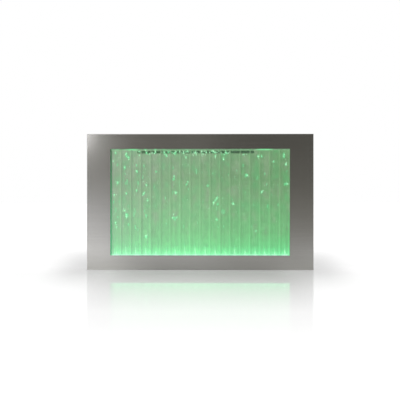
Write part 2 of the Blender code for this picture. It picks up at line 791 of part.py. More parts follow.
def build_dividers():
    """Upright strips between the channels, notched at the top for air and open at the foot for water."""
    low = AIR_BAR_Z + AIR_BAR_RADIUS + DIVIDER_FOOT_GAP
    high = TANK_CEILING_Z - SEAT_GAP
    middle_z = (low + high) / 2
    half_depth, half_height = WATER_GAP / 2, (high - low) / 2
    outline = (
        (-half_depth, -half_height),
        (half_depth, -half_height),
        (half_depth, half_height - DIVIDER_NOTCH_DEPTH),
        (half_depth - DIVIDER_NOTCH, half_height - DIVIDER_NOTCH_DEPTH),
        (half_depth - DIVIDER_NOTCH, half_height),
        (-half_depth, half_height),
    )
    for index in range(1, CHANNEL_COUNT):
        x = TANK_INNER_LEFT + index * CHANNEL_PITCH
        prism(
            f"channel_divider_{index:02d}",
            outline,
            DIVIDER,
            (x, MID_WATER_Y, middle_z),
            "X",
            CLEAR_ACRYLIC,
        )


def build_backing():
    slab(
        "backing_sheet",
        (TANK_LEFT, BACKING_Y, TANK_LOW + CRADLE_UPSTAND + SEAT_GAP),
        (TANK_RIGHT, BACKING_Y + BACKING, TROUGH_FLOOR_Z - BACKING_SLOT_GAP),
        FROSTED_SHEET,
    )


def build_trough():
    """Takes the water poured down the chute to the slot. It also holds the tank off the cover."""
    trough = slab(
        "fill_trough",
        (TROUGH_LEFT, BACKING_Y, TROUGH_FLOOR_Z - TROUGH_WALL),
        (TROUGH_RIGHT, BACK_Y, TANK_HIGH),
        GREY_PLASTIC,
    )
    chute = slab("chute", (CHUTE_LEFT, BACKING_Y, TROUGH_FLOOR_Z), (CHUTE_RIGHT, CHUTE_BACK_Y, CHUTE_TOP_Z))
    fuse(trough, chute)
    channel = slab(
        "trough_channel",
        (TROUGH_LEFT + TROUGH_WALL, BACKING_Y - OVERRUN, TROUGH_FLOOR_Z),
        (TROUGH_RIGHT - TROUGH_WALL, CHUTE_BACK_Y - TROUGH_WALL, TANK_HIGH + SEAT_GAP),
    )
    bore = slab(
        "chute_bore",
        (CHUTE_LEFT + TROUGH_WALL, BACKING_Y + TROUGH_WALL, TROUGH_FLOOR_Z),
        (CHUTE_RIGHT - TROUGH_WALL, CHUTE_BACK_Y - TROUGH_WALL, CHUTE_TOP_Z + OVERRUN),
    )
    cut(trough, channel, bore)


def build_lid():
    """Flush plate on the chute's rim, with a skirt inside the chute and a finger hole that also vents."""
    inset = TROUGH_WALL - LID_LEDGE + LID_CLEARANCE
    front, back = BACKING_Y + inset, CHUTE_BACK_Y - inset
    lid = slab(
        "fill_lid",
        (CHUTE_LEFT + inset, front, CEILING_Z),
        (CHUTE_RIGHT - inset, back, PANEL_HEIGHT),
        BRUSHED_STEEL,
    )
    skirt_inset = TROUGH_WALL + LID_SKIRT_CLEARANCE
    skirt_low, skirt_high = CEILING_Z - LID_SKIRT, CEILING_Z + SHEET / 2
    skirt = slab(
        "lid_skirt",
        (CHUTE_LEFT + skirt_inset, BACKING_Y + skirt_inset, skirt_low),
        (CHUTE_RIGHT - skirt_inset, CHUTE_BACK_Y - skirt_inset, skirt_high),
    )
    core_inset = skirt_inset + LID_SKIRT_WALL
    core = slab(
        "lid_core",
        (CHUTE_LEFT + core_inset, BACKING_Y + core_inset, skirt_low - OVERRUN),
        (CHUTE_RIGHT - core_inset, CHUTE_BACK_Y - core_inset, CEILING_Z),
    )
    middle = (SLOT_CENTRE, (front + back) / 2)
    finger = rod(
        "finger_hole",
        FINGER_HOLE_RADIUS,
        (*middle, skirt_low),
        (*middle, PANEL_HEIGHT + OVERRUN),
        "Z",
    )
    fuse(lid, skirt)
    cut(lid, core, finger)


def build_air_bar():
    left, right = TANK_INNER_LEFT + SEAT_GAP, TANK_INNER_RIGHT - TANK_WALL
    bar = rod(
        "air_bar",
        AIR_BAR_RADIUS,
        (left, MID_WATER_Y, AIR_BAR_Z),
        (right, MID_WATER_Y, AIR_BAR_Z),
        "X",
        CLEAR_ACRYLIC,
    )
    bore_end = right - AIR_BAR_RADIUS
    bore = rod(
        "air_bar_bore",
        AIR_BAR_BORE,
        (left - OVERRUN, MID_WATER_Y, AIR_BAR_Z),
        (bore_end, MID_WATER_Y, AIR_BAR_Z),
        "X",
    )
    holes = bmesh.new()
    for index in range(CHANNEL_COUNT):
        place = Matrix.Translation((channel_middle(index), 0.0, 0.0))
        bmesh.ops.create_cone(
            holes,
            cap_ends=True,
            segments=TINY_ROUND_STEPS,
            radius1=AIR_HOLE_RADIUS,
            radius2=AIR_HOLE_RADIUS,
            depth=AIR_BAR_RADIUS,
            matrix=place,
        )
    drill = new_object("air_holes", mesh_from("air_holes", holes))
    drill.location = (0.0, MID_WATER_Y, AIR_BAR_Z + AIR_BAR_RADIUS)
    cut(bar, bore, drill)


def build_lamp_profile():
    """U-shaped extrusion. Its two walls carry the tank and its floor carries the lamp strip."""
    front, back = FRONT_PANE_Y, TANK_BACK_Y
    wall = LAMP_PROFILE_WALL
    outline = (
        (front, LAMP_PROFILE_LOW),
        (back, LAMP_PROFILE_LOW),
        (back, LAMP_PROFILE_TOP),
        (back - wall, LAMP_PROFILE_TOP),
        (back - wall, LAMP_PROFILE_LOW + wall),
        (front + wall, LAMP_PROFILE_LOW + wall),
        (front + wall, LAMP_PROFILE_TOP),
        (front, LAMP_PROFILE_TOP),
    )
    prism(
        "lamp_profile",
        outline,
        TANK_RIGHT - TANK_LEFT,
        ((TANK_LEFT + TANK_RIGHT) / 2, 0.0, 0.0),
        "X",
        ALUMINIUM,
    )


def build_lamp_strip():
    low = LAMP_PROFILE_LOW + LAMP_PROFILE_WALL + SEAT_GAP
    high = low + LAMP_BOARD
    strip = slab(
        "lamp_strip",
        (TANK_INNER_LEFT, MID_WATER_Y - LAMP_BOARD_WIDTH / 2, low),
        (TANK_INNER_RIGHT, MID_WATER_Y + LAMP_BOARD_WIDTH / 2, high),
        CIRCUIT_BOARD,
    )
    lamps = bmesh.new()
    lamp_count = CHANNEL_COUNT * LAMPS_PER_CHANNEL
    lamp_pitch = CHANNEL_PITCH / LAMPS_PER_CHANNEL
    lamp_body = LAMP_HEIGHT + LAMP_BOARD / 2
    for index in range(lamp_count):
        x = TANK_INNER_LEFT + (index + 1 / 2) * lamp_pitch
        place = Matrix.Translation((x, MID_WATER_Y, high + LAMP_HEIGHT - lamp_body / 2))
        bmesh.ops.create_cube(
            lamps, size=1.0, matrix=place @ Matrix.Diagonal((LAMP_SIZE, LAMP_SIZE, lamp_body, 1.0))
        )
    fuse(strip, new_object("lamps", mesh_from("lamps", lamps)))


def build_cradle():
    """Folded rail on the casing floor. Its back upstand keeps the lamp profile and the tank in place."""
    front, back, sheet = FRONT_PANE_Y, CRADLE_BACK_Y, CRADLE_SHEET
    foot = FLOOR_Z + SEAT_GAP
    outline = (
        (front, foot),
        (front + CRADLE_FOOT, foot),
        (front + CRADLE_FOOT, foot + sheet),
        (front + sheet, foot + sheet),
        (front + sheet, CRADLE_TOP - sheet),
        (back - sheet, CRADLE_TOP - sheet),
        (back - sheet, foot + sheet),
        (back - CRADLE_FOOT, foot + sheet),
        (back - CRADLE_FOOT, foot),
        (back, foot),
        (back, TANK_LOW + CRADLE_UPSTAND),
        (back - sheet, TANK_LOW + CRADLE_UPSTAND),
        (back - sheet, CRADLE_TOP),
        (front, CRADLE_TOP),
    )
    prism(
        "tank_cradle",
        outline,
        TANK_RIGHT - TANK_LEFT,
        ((TANK_LEFT + TANK_RIGHT) / 2, 0.0, 0.0),
        "X",
        PLATED_STEEL,
    )


def build_service_tray():
    """Recess over the left opening in the casing floor. Inlet, rocker and knob stay above the bottom face."""
    left = -PANEL_WIDTH / 2 + SERVICE_EDGE - TRAY_MARGIN
    right = left + SERVICE_LENGTH + 2 * TRAY_MARGIN
    front = FRONT_Y + SERVICE_FRONT - TRAY_MARGIN
    back = FRONT_Y + SERVICE_BACK + TRAY_MARGIN
    tray = slab(
        "service_tray",
        (left - SHEET - TRAY_FLANGE, front - SHEET - TRAY_FLANGE, TRAY_FLOOR_Z),
        (right + SHEET + TRAY_FLANGE, back + SHEET + TRAY_FLANGE, TRAY_FLOOR_Z + SHEET),
        BLACK_PLASTIC,
    )
    dish = slab(
        "tray_dish", (left - SHEET, front - SHEET, TRAY_FLOOR_Z), (right + SHEET, back + SHEET, TRAY_TOP)
    )
    inside = slab("tray_inside", (left, front, TRAY_FLOOR_Z - OVERRUN), (right, back, TRAY_HEIGHT))
    half_length = INLET_LENGTH / 2 - INLET_BODY_MARGIN + SEAT_GAP
    half_width = INLET_WIDTH / 2 - INLET_BODY_MARGIN + SEAT_GAP
    inlet = slab(
        "tray_inlet_hole",
        (INLET_X - half_length, INLET_Y - half_width, TRAY_HEIGHT - OVERRUN),
        (INLET_X + half_length, INLET_Y + half_width, TRAY_TOP + OVERRUN),
    )
    stem = rod(
        "tray_stem_hole",
        KNOB_STEM_RADIUS + STEM_CLEARANCE,
        (AIR_VALVE_X, MID_WATER_Y, TRAY_HEIGHT - OVERRUN),
        (AIR_VALVE_X, MID_WATER_Y, TRAY_TOP + OVERRUN),
        "Z",
    )
    fuse(tray, dish)
    cut(tray, inside, inlet, stem)


def build_inlet():
    """Mains inlet: a bezel under the tray, a body through it, a three-pin socket and a rocker well."""
    half_length, half_width = INLET_LENGTH / 2, INLET_WIDTH / 2
    inlet = slab(
        "power_inlet",
        (INLET_X - half_length, INLET_Y - half_width, INLET_FACE_Z),
        (INLET_X + half_length, INLET_Y + half_width, INLET_TOP),
        BLACK_PLASTIC,
    )
    half_length, half_width = half_length - INLET_BODY_MARGIN, half_width - INLET_BODY_MARGIN
    body = slab(
        "inlet_body",
        (INLET_X - half_length, INLET_Y - half_width, INLET_FACE_Z + INLET_BEZEL / 2),
        (INLET_X + half_length, INLET_Y + half_width, INLET_BODY_TOP),
    )
    socket_x = INLET_X - SOCKET_OFFSET
    socket_top = INLET_FACE_Z + SOCKET_DEPTH
    socket = slab(
        "inlet_socket",
        (socket_x - SOCKET_LENGTH / 2, INLET_Y - SOCKET_WIDTH / 2, INLET_FACE_Z - OVERRUN),
        (socket_x + SOCKET_LENGTH / 2, INLET_Y + SOCKET_WIDTH / 2, socket_top),
    )
    well_x = INLET_X + ROCKER_OFFSET
    half_well_x = ROCKER_WIDTH / 2 + ROCKER_CLEARANCE
    half_well_y = ROCKER_LENGTH / 2 + ROCKER_CLEARANCE
    well = slab(
        "rocker_well",
        (well_x - half_well_x, INLET_Y - half_well_y, INLET_FACE_Z - OVERRUN),
        (well_x + half_well_x, INLET_Y + half_well_y, INLET_FACE_Z + ROCKER_WELL),
    )
    fuse(inlet, body)
    cut(inlet, socket, well)
    for index, (side, stagger) in enumerate(((-1.0, -1.0), (0.0, 1.0), (1.0, -1.0)), 1):
        x = socket_x + side * PIN_SPREAD
        y = INLET_Y + stagger * PIN_STAGGER
        pin = slab(
            f"inlet_pin_{index}",
            (x - PIN_WIDTH / 2, y - PIN_LENGTH / 2, socket_top - PIN_HEIGHT),
            (x + PIN_WIDTH / 2, y + PIN_LENGTH / 2, socket_top + PIN_WIDTH),
        )
        fuse(inlet, pin)


def build_rocker():
    """Rocker with two sloping faces, tipped to its off side. It turns about X on a pivot inside the bezel."""
    half = ROCKER_LENGTH / 2
    outline = (
        (-half, -ROCKER_PROUD),
        (0.0, 0.0),
        (half, -ROCKER_PROUD),
        (half, ROCKER_BODY / 2),
        (half / 2, ROCKER_BODY),
        (-half / 2, ROCKER_BODY),
        (-half, ROCKER_BODY / 2),
    )
    middle = (INLET_X + ROCKER_OFFSET, INLET_Y, INLET_FACE_Z + ROCKER_PIVOT)
    pivot = bpy.data.objects.new("rocker_pivot", None)
    PARTS.objects.link(pivot)
    pivot.parent = ASSEMBLY
    pivot.location = middle
    pivot.rotation_euler = (ROCKER_TILT, 0.0, 0.0)
    rocker = prism("rocker_switch", outline, ROCKER_WIDTH, (0.0, 0.0, 0.0), "X", BLACK_PLASTIC)
    rocker.parent = pivot


def build_air_valve():
    """Angle valve beside the tank: air in from above, out by the nipple, with the stem from below."""
    x, y = AIR_VALVE_X, MID_WATER_Y
    valve = rod("air_valve", AIR_VALVE_RADIUS, (x, y, AIR_VALVE_LOW), (x, y, AIR_VALVE_HIGH), "Z", BRASS)
    nipple_end = TANK_INNER_LEFT + NIPPLE_ENTRY
    nipple = rod("air_nipple", NIPPLE_RADIUS, (x, y, AIR_BAR_Z), (nipple_end, y, AIR_BAR_Z), "X")
    flange_face = TANK_LEFT - SEAT_GAP
    flange = rod(
        "air_flange",
        FLANGE_RADIUS,
        (flange_face - FLANGE_THICKNESS, y, AIR_BAR_Z),
        (flange_face, y, AIR_BAR_Z),
        "X",
    )
    bore = rod(
        "air_stem_bore",
        KNOB_STEM_RADIUS + STEM_CLEARANCE,
        (x, y, AIR_VALVE_LOW - OVERRUN),
        (x, y, AIR_VALVE_LOW + KNOB_STEM_ENTRY + SEAT_GAP),
        "Z",
    )
    fuse(valve, nipple, flange)
    cut(valve, bore)


def build_air_knob():
    """Fluted knob under the tray, on a stem that passes the tray and enters the valve."""
    x, y = AIR_VALVE_X, MID_WATER_Y
    low = KNOB_FLOOR_GAP
    high = low + KNOB_HEIGHT
    knob = rod("air_knob", KNOB_RADIUS, (x, y, low), (x, y, high), "Z", BLACK_PLASTIC)
    add_bevel(knob, KNOB_FLUTE_RADIUS)
    stem = rod(
        "knob_stem",
        KNOB_STEM_RADIUS,
        (x, y, high - KNOB_FLUTE_RADIUS),
        (x, y, AIR_VALVE_LOW + KNOB_STEM_ENTRY),
        "Z",
    )
    fuse(knob, stem)
    flutes = bmesh.new()
    for index in range(KNOB_FLUTES):
        turn = 2 * math.pi * index / KNOB_FLUTES
        place = Matrix.Translation((KNOB_RADIUS * math.cos(turn), KNOB_RADIUS * math.sin(turn), 0.0))
        bmesh.ops.create_cone(
            flutes,
            cap_ends=True,
            segments=TINY_ROUND_STEPS,
            radius1=KNOB_FLUTE_RADIUS,
            radius2=KNOB_FLUTE_RADIUS,
            depth=KNOB_HEIGHT + 2 * OVERRUN,
            matrix=place,
        )
    tool = new_object("knob_flutes", mesh_from("knob_flutes", flutes))
    tool.location = (x, y, (low + high) / 2)
    cut(knob, tool)


def build_check_valve():
    bottom_of_body = CHECK_NECK
    top_of_body = CHECK_NECK + CHECK_BODY
    top = top_of_body + CHECK_BARB
    profile = (
        (0.0, top),
        (CHECK_BARB_RADIUS, top),
        (CHECK_BARB_RADIUS, top_of_body),
        (CHECK_RADIUS, top_of_body),
        (CHECK_RADIUS, bottom_of_body),
        (CHECK_NECK_RADIUS, bottom_of_body),
        (CHECK_NECK_RADIUS, 0.0),
        (0.0, 0.0),
    )
    check = turned("check_valve", profile, GREY_PLASTIC)
    check.location = (AIR_VALVE_X, MID_WATER_Y, CHECK_LOW)


def build_pump():
    """Diaphragm pump on a rubber mount. Its cover hides the motor, the swinging arm and the bellows."""
    y0, y1 = PUMP_Y, PUMP_Y + PUMP_WIDTH
    mount_low, mount_high = PUMP_LOW + PUMP_EDGE, PUMP_HIGH - PUMP_EDGE
    slab(
        "pump_mount",
        (PUMP_MOUNT_X, y0, mount_low),
        (PUMP_MOUNT_X + PUMP_MOUNT, y1, mount_high),
        BLACK_RUBBER,
    )
    build_pump_base(y0, y1)
    cover_low, cover_high = (PUMP_COVER_X, y0, PUMP_LOW), (PUMP_COVER_X + PUMP_COVER, y1, PUMP_HIGH)
    cover = slab("pump_cover", cover_low, cover_high, BLACK_PLASTIC, PUMP_EDGE)
    inside = slab(
        "pump_cover_inside",
        (PUMP_COVER_X - OVERRUN, y0 + PUMP_WALL, PUMP_LOW + PUMP_WALL),
        (PUMP_COVER_X + PUMP_COVER - PUMP_WALL, y1 - PUMP_WALL, PUMP_HIGH - PUMP_WALL),
    )
    cut(cover, inside)
    build_pump_motor()
    build_pump_arm()
    build_pump_diaphragm()


def build_pump_base(y0, y1):
    """Base with the outlet on top, and two ears with the pin that the arm swings on."""
    base = slab(
        "pump_base",
        (PUMP_BASE_X, y0, PUMP_LOW),
        (PUMP_BASE_X + PUMP_BASE, y1, PUMP_HIGH),
        GREY_PLASTIC,
        PUMP_EDGE / 2,
    )
    outlet = rod(
        "pump_outlet",
        CHECK_BARB_RADIUS,
        (PUMP_OUTLET_X, PUMP_MIDDLE_Y, PUMP_HIGH - PUMP_EDGE),
        (PUMP_OUTLET_X, PUMP_MIDDLE_Y, PUMP_OUTLET_Z),
        "Z",
    )
    ear_inner = ARM_WIDTH / 2 + EAR_CLEARANCE
    ear_outer = ear_inner + EAR_THICKNESS
    ears = []
    for name, near, far in (("front_ear", -ear_outer, -ear_inner), ("back_ear", ear_inner, ear_outer)):
        low = (PUMP_COVER_X - PUMP_EDGE, PUMP_MIDDLE_Y + near, ARM_PIVOT_Z - EAR_HEIGHT / 2)
        high = (ARM_X + ARM_EYE_RADIUS, PUMP_MIDDLE_Y + far, ARM_PIVOT_Z + EAR_HEIGHT / 2)
        ears.append(slab(name, low, high))
    pin_start, pin_end = PUMP_MIDDLE_Y - ear_outer + OVERRUN, PUMP_MIDDLE_Y + ear_outer - OVERRUN
    pin = rod("arm_pin", ARM_PIN_RADIUS, (ARM_X, pin_start, ARM_PIVOT_Z), (ARM_X, pin_end, ARM_PIVOT_Z), "Y")
    fuse(base, outlet, *ears, pin)


def build_pump_motor():
    """Coil round an iron core whose top faces the magnet on the arm."""
    low = (PUMP_COVER_X, PUMP_MIDDLE_Y - MOTOR_WIDTH / 2, PUMP_LOW + MOTOR_INSET)
    high = (PUMP_COVER_X + MOTOR_DEPTH, PUMP_MIDDLE_Y + MOTOR_WIDTH / 2, MOTOR_HIGH)
    motor = slab("pump_motor", low, high, PLATED_STEEL)
    height = MOTOR_HIGH - PUMP_LOW - MOTOR_INSET
    coil = slab(
        "motor_coil",
        (low[0] + MOTOR_COIL_PROUD, low[1] - MOTOR_COIL_PROUD, low[2] + height / 4),
        (high[0] + MOTOR_COIL_PROUD, high[1] + MOTOR_COIL_PROUD, high[2] - height / 4),
    )
    fuse(motor, coil)


def build_pump_arm():
    """Lever with an eye round the pin and a magnet at its free end. It swings about Y."""
    low_z = ARM_PIVOT_Z - ARM_LENGTH
    arm = slab(
        "pump_arm",
        (ARM_X - ARM_THICKNESS / 2, PUMP_MIDDLE_Y - ARM_WIDTH / 2, low_z + MAGNET_HEIGHT / 2),
        (ARM_X + ARM_THICKNESS / 2, PUMP_MIDDLE_Y + ARM_WIDTH / 2, ARM_PIVOT_Z - ARM_PIN_RADIUS),
        PLATED_STEEL,
    )
    magnet = slab(
        "arm_magnet",
        (ARM_X - MAGNET_DEPTH / 2, PUMP_MIDDLE_Y - MAGNET_WIDTH / 2, low_z),
        (ARM_X + MAGNET_DEPTH / 2, PUMP_MIDDLE_Y + MAGNET_WIDTH / 2, low_z + MAGNET_HEIGHT),
    )
    front, back = PUMP_MIDDLE_Y - ARM_WIDTH / 2, PUMP_MIDDLE_Y + ARM_WIDTH / 2
    eye = rod("arm_eye", ARM_EYE_RADIUS, (ARM_X, front, ARM_PIVOT_Z), (ARM_X, back, ARM_PIVOT_Z), "Y")
    bore_radius = ARM_PIN_RADIUS + ARM_PIN_CLEARANCE
    bore_start, bore_end = (ARM_X, front - OVERRUN, ARM_PIVOT_Z), (ARM_X, back + OVERRUN, ARM_PIVOT_Z)
    fuse(arm, magnet, eye)
    cut(arm, rod("arm_bore", bore_radius, bore_start, bore_end, "Y"))
    move_origin(arm, (ARM_X, PUMP_MIDDLE_Y, ARM_PIVOT_Z))


def build_pump_diaphragm():
    """Rubber bellows on the base, with a stud that the arm pushes."""
    height = ARM_X - ARM_THICKNESS / 2 - DIAPHRAGM_STROKE_GAP - PUMP_COVER_X
    bellows_top = DIAPHRAGM_RIM + DIAPHRAGM_BELLOWS
    profile = (
        (0.0, height),
        (DIAPHRAGM_STUD_RADIUS, height),
        (DIAPHRAGM_STUD_RADIUS, bellows_top),
        (DIAPHRAGM_BELLOWS_RADIUS, bellows_top),
        (DIAPHRAGM_BELLOWS_RADIUS, DIAPHRAGM_RIM),
        (DIAPHRAGM_RADIUS, DIAPHRAGM_RIM),
        (DIAPHRAGM_RADIUS, 0.0),
        (0.0, 0.0),
    )
    diaphragm = turned("pump_diaphragm", profile, BLACK_RUBBER)
    diaphragm.rotation_euler = AXIS_TURNS["X"].to_euler()
    diaphragm.location = (PUMP_COVER_X, PUMP_MIDDLE_Y, ARM_PIVOT_Z - DIAPHRAGM_DROP)


def build_hose():
    """Air hose from the pump to the check valve, looped over the water level so that none runs back."""
    start = Vector((PUMP_OUTLET_X, PUMP_MIDDLE_Y, PUMP_OUTLET_Z + SEAT_GAP))
    end = Vector((AIR_VALVE_X, MID_WATER_Y, CHECK_HIGH + SEAT_GAP))
    radius = (end.x - start.x) / 2
    turn_z = PANEL_HEIGHT - HOSE_TOP_GAP - radius
    points = [start + Vector((0.0, 0.0, z)) for z in spaced(0.0, turn_z - start.z, HOSE_STEP)]
    for step in range(1, HOSE_ARC_STEPS):
        share = step / HOSE_ARC_STEPS
        turn = math.pi * share
        x = start.x + radius * (1 - math.cos(turn))
        y = start.y + (end.y - start.y) * (1 - math.cos(turn)) / 2
        points.append(Vector((x, y, turn_z + radius * math.sin(turn))))
    points += [Vector((end.x, end.y, z)) for z in spaced(turn_z, end.z, HOSE_STEP)]
    tube("air_hose", points, HOSE_RADIUS, CLEAR_HOSE)


def spaced(first, last, step):
    count = max(1, round(abs(last - first) / step))
    return [first + (last - first) * index / count for index in range(count + 1)]


def build_driver():
    slab(
        "lamp_driver",
        (DRIVER_X, DRIVER_Y, DRIVER_LOW),
        (DRIVER_X + DRIVER_THICKNESS, DRIVER_Y + DRIVER_WIDTH, DRIVER_LOW + DRIVER_HEIGHT),
        GREY_PLASTIC,
        DRIVER_EDGE,
    )


def build_cables():
    """Mains from the inlet to the driver and to the pump, and the lamp lead from the driver to the strip."""
    driver_x = DRIVER_X + DRIVER_THICKNESS / 2
    driver_low, driver_high = DRIVER_LOW - SEAT_GAP, DRIVER_LOW + DRIVER_HEIGHT
    inlet_top = INLET_BODY_TOP + SEAT_GAP
    rise = Vector((0.0, 0.0, CABLE_SPREAD))
    supply_start = Vector((INLET_X - CABLE_SPREAD, INLET_Y + CABLE_SPREAD / 2, inlet_top))
    supply_end = Vector((driver_x, DRIVER_Y + DRIVER_WIDTH * 3 / 4, driver_low))
    route = smooth_route((supply_start, supply_start + rise, supply_end - rise, supply_end), CABLE_STEP)
    tube("supply_cable", route, CABLE_RADIUS, BLACK_RUBBER)

    pump_end = Vector((PUMP_OUTLET_X, PUMP_MIDDLE_Y, PUMP_LOW - SEAT_GAP))
    pump_start = Vector((INLET_X + CABLE_SPREAD, INLET_Y + CABLE_SPREAD / 2, inlet_top))
    beside_driver = DRIVER_X + DRIVER_THICKNESS + CABLE_SPREAD
    corners = (
        pump_start,
        pump_start + rise,
        Vector((beside_driver, INLET_Y, DRIVER_LOW + CABLE_SLACK)),
        Vector((beside_driver, INLET_Y, driver_high)),
        pump_end - rise,
        pump_end,
    )
    tube("pump_cable", smooth_route(corners, CABLE_STEP * 2), CABLE_RADIUS, BLACK_RUBBER)

    strip_z = LAMP_PROFILE_LOW + LAMP_PROFILE_WALL + SEAT_GAP + LAMP_BOARD / 2
    lead_start = Vector((driver_x, DRIVER_Y + DRIVER_WIDTH / 4, driver_low))
    lead_end = Vector((TANK_INNER_LEFT - SEAT_GAP, MID_WATER_Y + CABLE_RADIUS, strip_z + CABLE_RADIUS / 2))
    across = Vector((CABLE_SPREAD, 0.0, 0.0))
    behind_valve = Vector(
        (AIR_VALVE_X + CABLE_SPREAD, MID_WATER_Y + FLANGE_RADIUS + CABLE_SPREAD / 2, AIR_VALVE_LOW)
    )
    corners = (lead_start, lead_start - rise, behind_valve, lead_end - across, lead_end)
    tube("lamp_cable", smooth_route(corners, CABLE_STEP), CABLE_RADIUS / 2, BLACK_RUBBER)


def build_drain():
    """Ball valve beside the tank with its outlet turned down, and the lever on its stem under it."""
    y, z = MID_WATER_Y, AIR_BAR_Z
    flange_face = TANK_RIGHT + SEAT_GAP
    pipe = rod(
        "drain_valve",
        DRAIN_RADIUS,
        (flange_face, y, z),
        (DRAIN_ELBOW_X + DRAIN_RADIUS, y, z),
        "X",
        BRASS,
    )
    nipple_start = TANK_INNER_RIGHT - SEAT_GAP
    nipple = rod("drain_nipple", NIPPLE_RADIUS, (nipple_start, y, z), (DRAIN_STEM_X, y, z), "X")
    flange = rod(
        "drain_flange",
        FLANGE_RADIUS,
        (flange_face, y, z),
        (flange_face + FLANGE_THICKNESS, y, z),
        "X",
    )
    ball = rod(
        "drain_ball_housing",
        DRAIN_BALL_RADIUS,
        (DRAIN_STEM_X - DRAIN_BALL_RADIUS, y, z),
        (DRAIN_STEM_X + DRAIN_BALL_RADIUS, y, z),
        "X",
    )
    barb = rod(
        "drain_barb",
        DRAIN_BARB_RADIUS,
        (DRAIN_ELBOW_X, y, DRAIN_BARB_END),
        (DRAIN_ELBOW_X, y, z),
        "Z",
    )
    fuse(pipe, nipple, flange, ball, barb)
    bore = rod(
        "drain_stem_bore",
        DRAIN_STEM_RADIUS + STEM_CLEARANCE,
        (DRAIN_STEM_X, y, z - DRAIN_BALL_RADIUS - OVERRUN),
        (DRAIN_STEM_X, y, z - DRAIN_BALL_RADIUS + DRAIN_STEM_ENTRY + SEAT_GAP),
        "Z",
    )
    outlet_start, outlet_end = (DRAIN_ELBOW_X, y, DRAIN_BARB_END - OVERRUN), (DRAIN_ELBOW_X, y, z)
    outlet = rod("drain_outlet_bore", DRAIN_BORE_RADIUS, outlet_start, outlet_end, "Z")
    cut(pipe, bore, outlet)


def build_drain_lever():
    """Lever that lies across the pipe when the drain is shut."""
    x, y = DRAIN_STEM_X, MID_WATER_Y
    low, high = LEVER_Z, LEVER_Z + LEVER_THICKNESS
    lever = slab(
        "drain_lever",
        (x - LEVER_WIDTH / 2, y, low),
        (x + LEVER_WIDTH / 2, y + LEVER_LENGTH, high),
        GREY_PLASTIC,
    )
    boss = rod(
        "lever_boss",
        LEVER_BOSS_RADIUS,
        (x, y, low - LEVER_THICKNESS / 2),
        (x, y, high + LEVER_THICKNESS / 2),
        "Z",
    )
    stem_top = AIR_BAR_Z - DRAIN_BALL_RADIUS + DRAIN_STEM_ENTRY
    stem = rod("lever_stem", DRAIN_STEM_RADIUS, (x, y, low), (x, y, stem_top), "Z")
    fuse(lever, boss, stem)
    move_origin(lever, (x, y, low))


def build_hanger_rail():
    """Rail on the cover with a hook that points down, made of one folded strip."""
    outer = HANGER_Y + RAIL_SHEET
    outline = (
        (HANGER_Y, HANGER_HIGH),
        (HANGER_Y, HANGER_BEND_Z),
        (HOOK_Y, HOOK_HIGH),
        (HOOK_Y, HOOK_LOW),
        (HOOK_Y + RAIL_SHEET, HOOK_LOW),
        (HOOK_Y + RAIL_SHEET, HOOK_HIGH + RAIL_BEND),
        (outer, HANGER_BEND_Z + RAIL_BEND),
        (outer, HANGER_HIGH),
    )
    prism("hanger_rail", outline, RAIL_LENGTH, (0.0, 0.0, 0.0), "X", PLATED_STEEL)


def build_wall_rail():
    """Rail that stays on the wall, with an upright that stands in the hook, and a row of screw holes."""
    outline = (
        (WALL_RAIL_Y, WALL_RAIL_LOW),
        (WALL_Y, WALL_RAIL_LOW),
        (WALL_Y, WALL_BEND_Z),
        (UPRIGHT_Y + RAIL_SHEET, WALL_BEND_Z + WALL_JOG),
        (UPRIGHT_Y + RAIL_SHEET, UPRIGHT_HIGH),
        (UPRIGHT_Y, UPRIGHT_HIGH),
        (UPRIGHT_Y, WALL_BEND_Z + WALL_JOG - RAIL_BEND),
        (WALL_RAIL_Y, WALL_BEND_Z - RAIL_BEND),
    )
    rail = prism("wall_rail", outline, WALL_RAIL_LENGTH, (0.0, 0.0, 0.0), "X", PLATED_STEEL)
    hole_pitch = WALL_RAIL_LENGTH / RAIL_HOLE_COUNT
    hole_z = WALL_RAIL_LOW + WALL_RAIL_FLANGE / 2
    for index in range(RAIL_HOLE_COUNT):
        x = (index - (RAIL_HOLE_COUNT - 1) / 2) * hole_pitch
        start, end = (x, WALL_RAIL_Y - OVERRUN, hole_z), (x, WALL_Y + OVERRUN, hole_z)
        cut(rail, rod(f"wall_screw_hole_{index + 1}", RAIL_HOLE_RADIUS, start, end, "Y"))


def build_bumpers():
    for name, x in (("bumper_left", -BUMPER_X), ("bumper_right", BUMPER_X)):
        start, end = (x, COVER_BACK_Y + SEAT_GAP, BUMPER_HEIGHT_PLACE), (x, WALL_Y, BUMPER_HEIGHT_PLACE)
        add_bevel(rod(name, BUMPER_RADIUS, start, end, "Y", BLACK_RUBBER), BUMPER_EDGE)


build_front_casing()
build_back_cover()
build_gasket()
build_tank()
build_dividers()
build_backing()
build_trough()
build_lid()
build_air_bar()
build_lamp_profile()
build_lamp_strip()
build_cradle()
build_service_tray()
build_inlet()
build_rocker()
build_air_valve()
build_air_knob()
build_check_valve()
build_pump()
build_hose()
build_driver()
build_cables()
build_drain()
build_drain_lever()
build_hanger_rail()
build_wall_rail()
build_bumpers()
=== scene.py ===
import math
import random

import bmesh
import bpy
from mathutils import Matrix, Vector


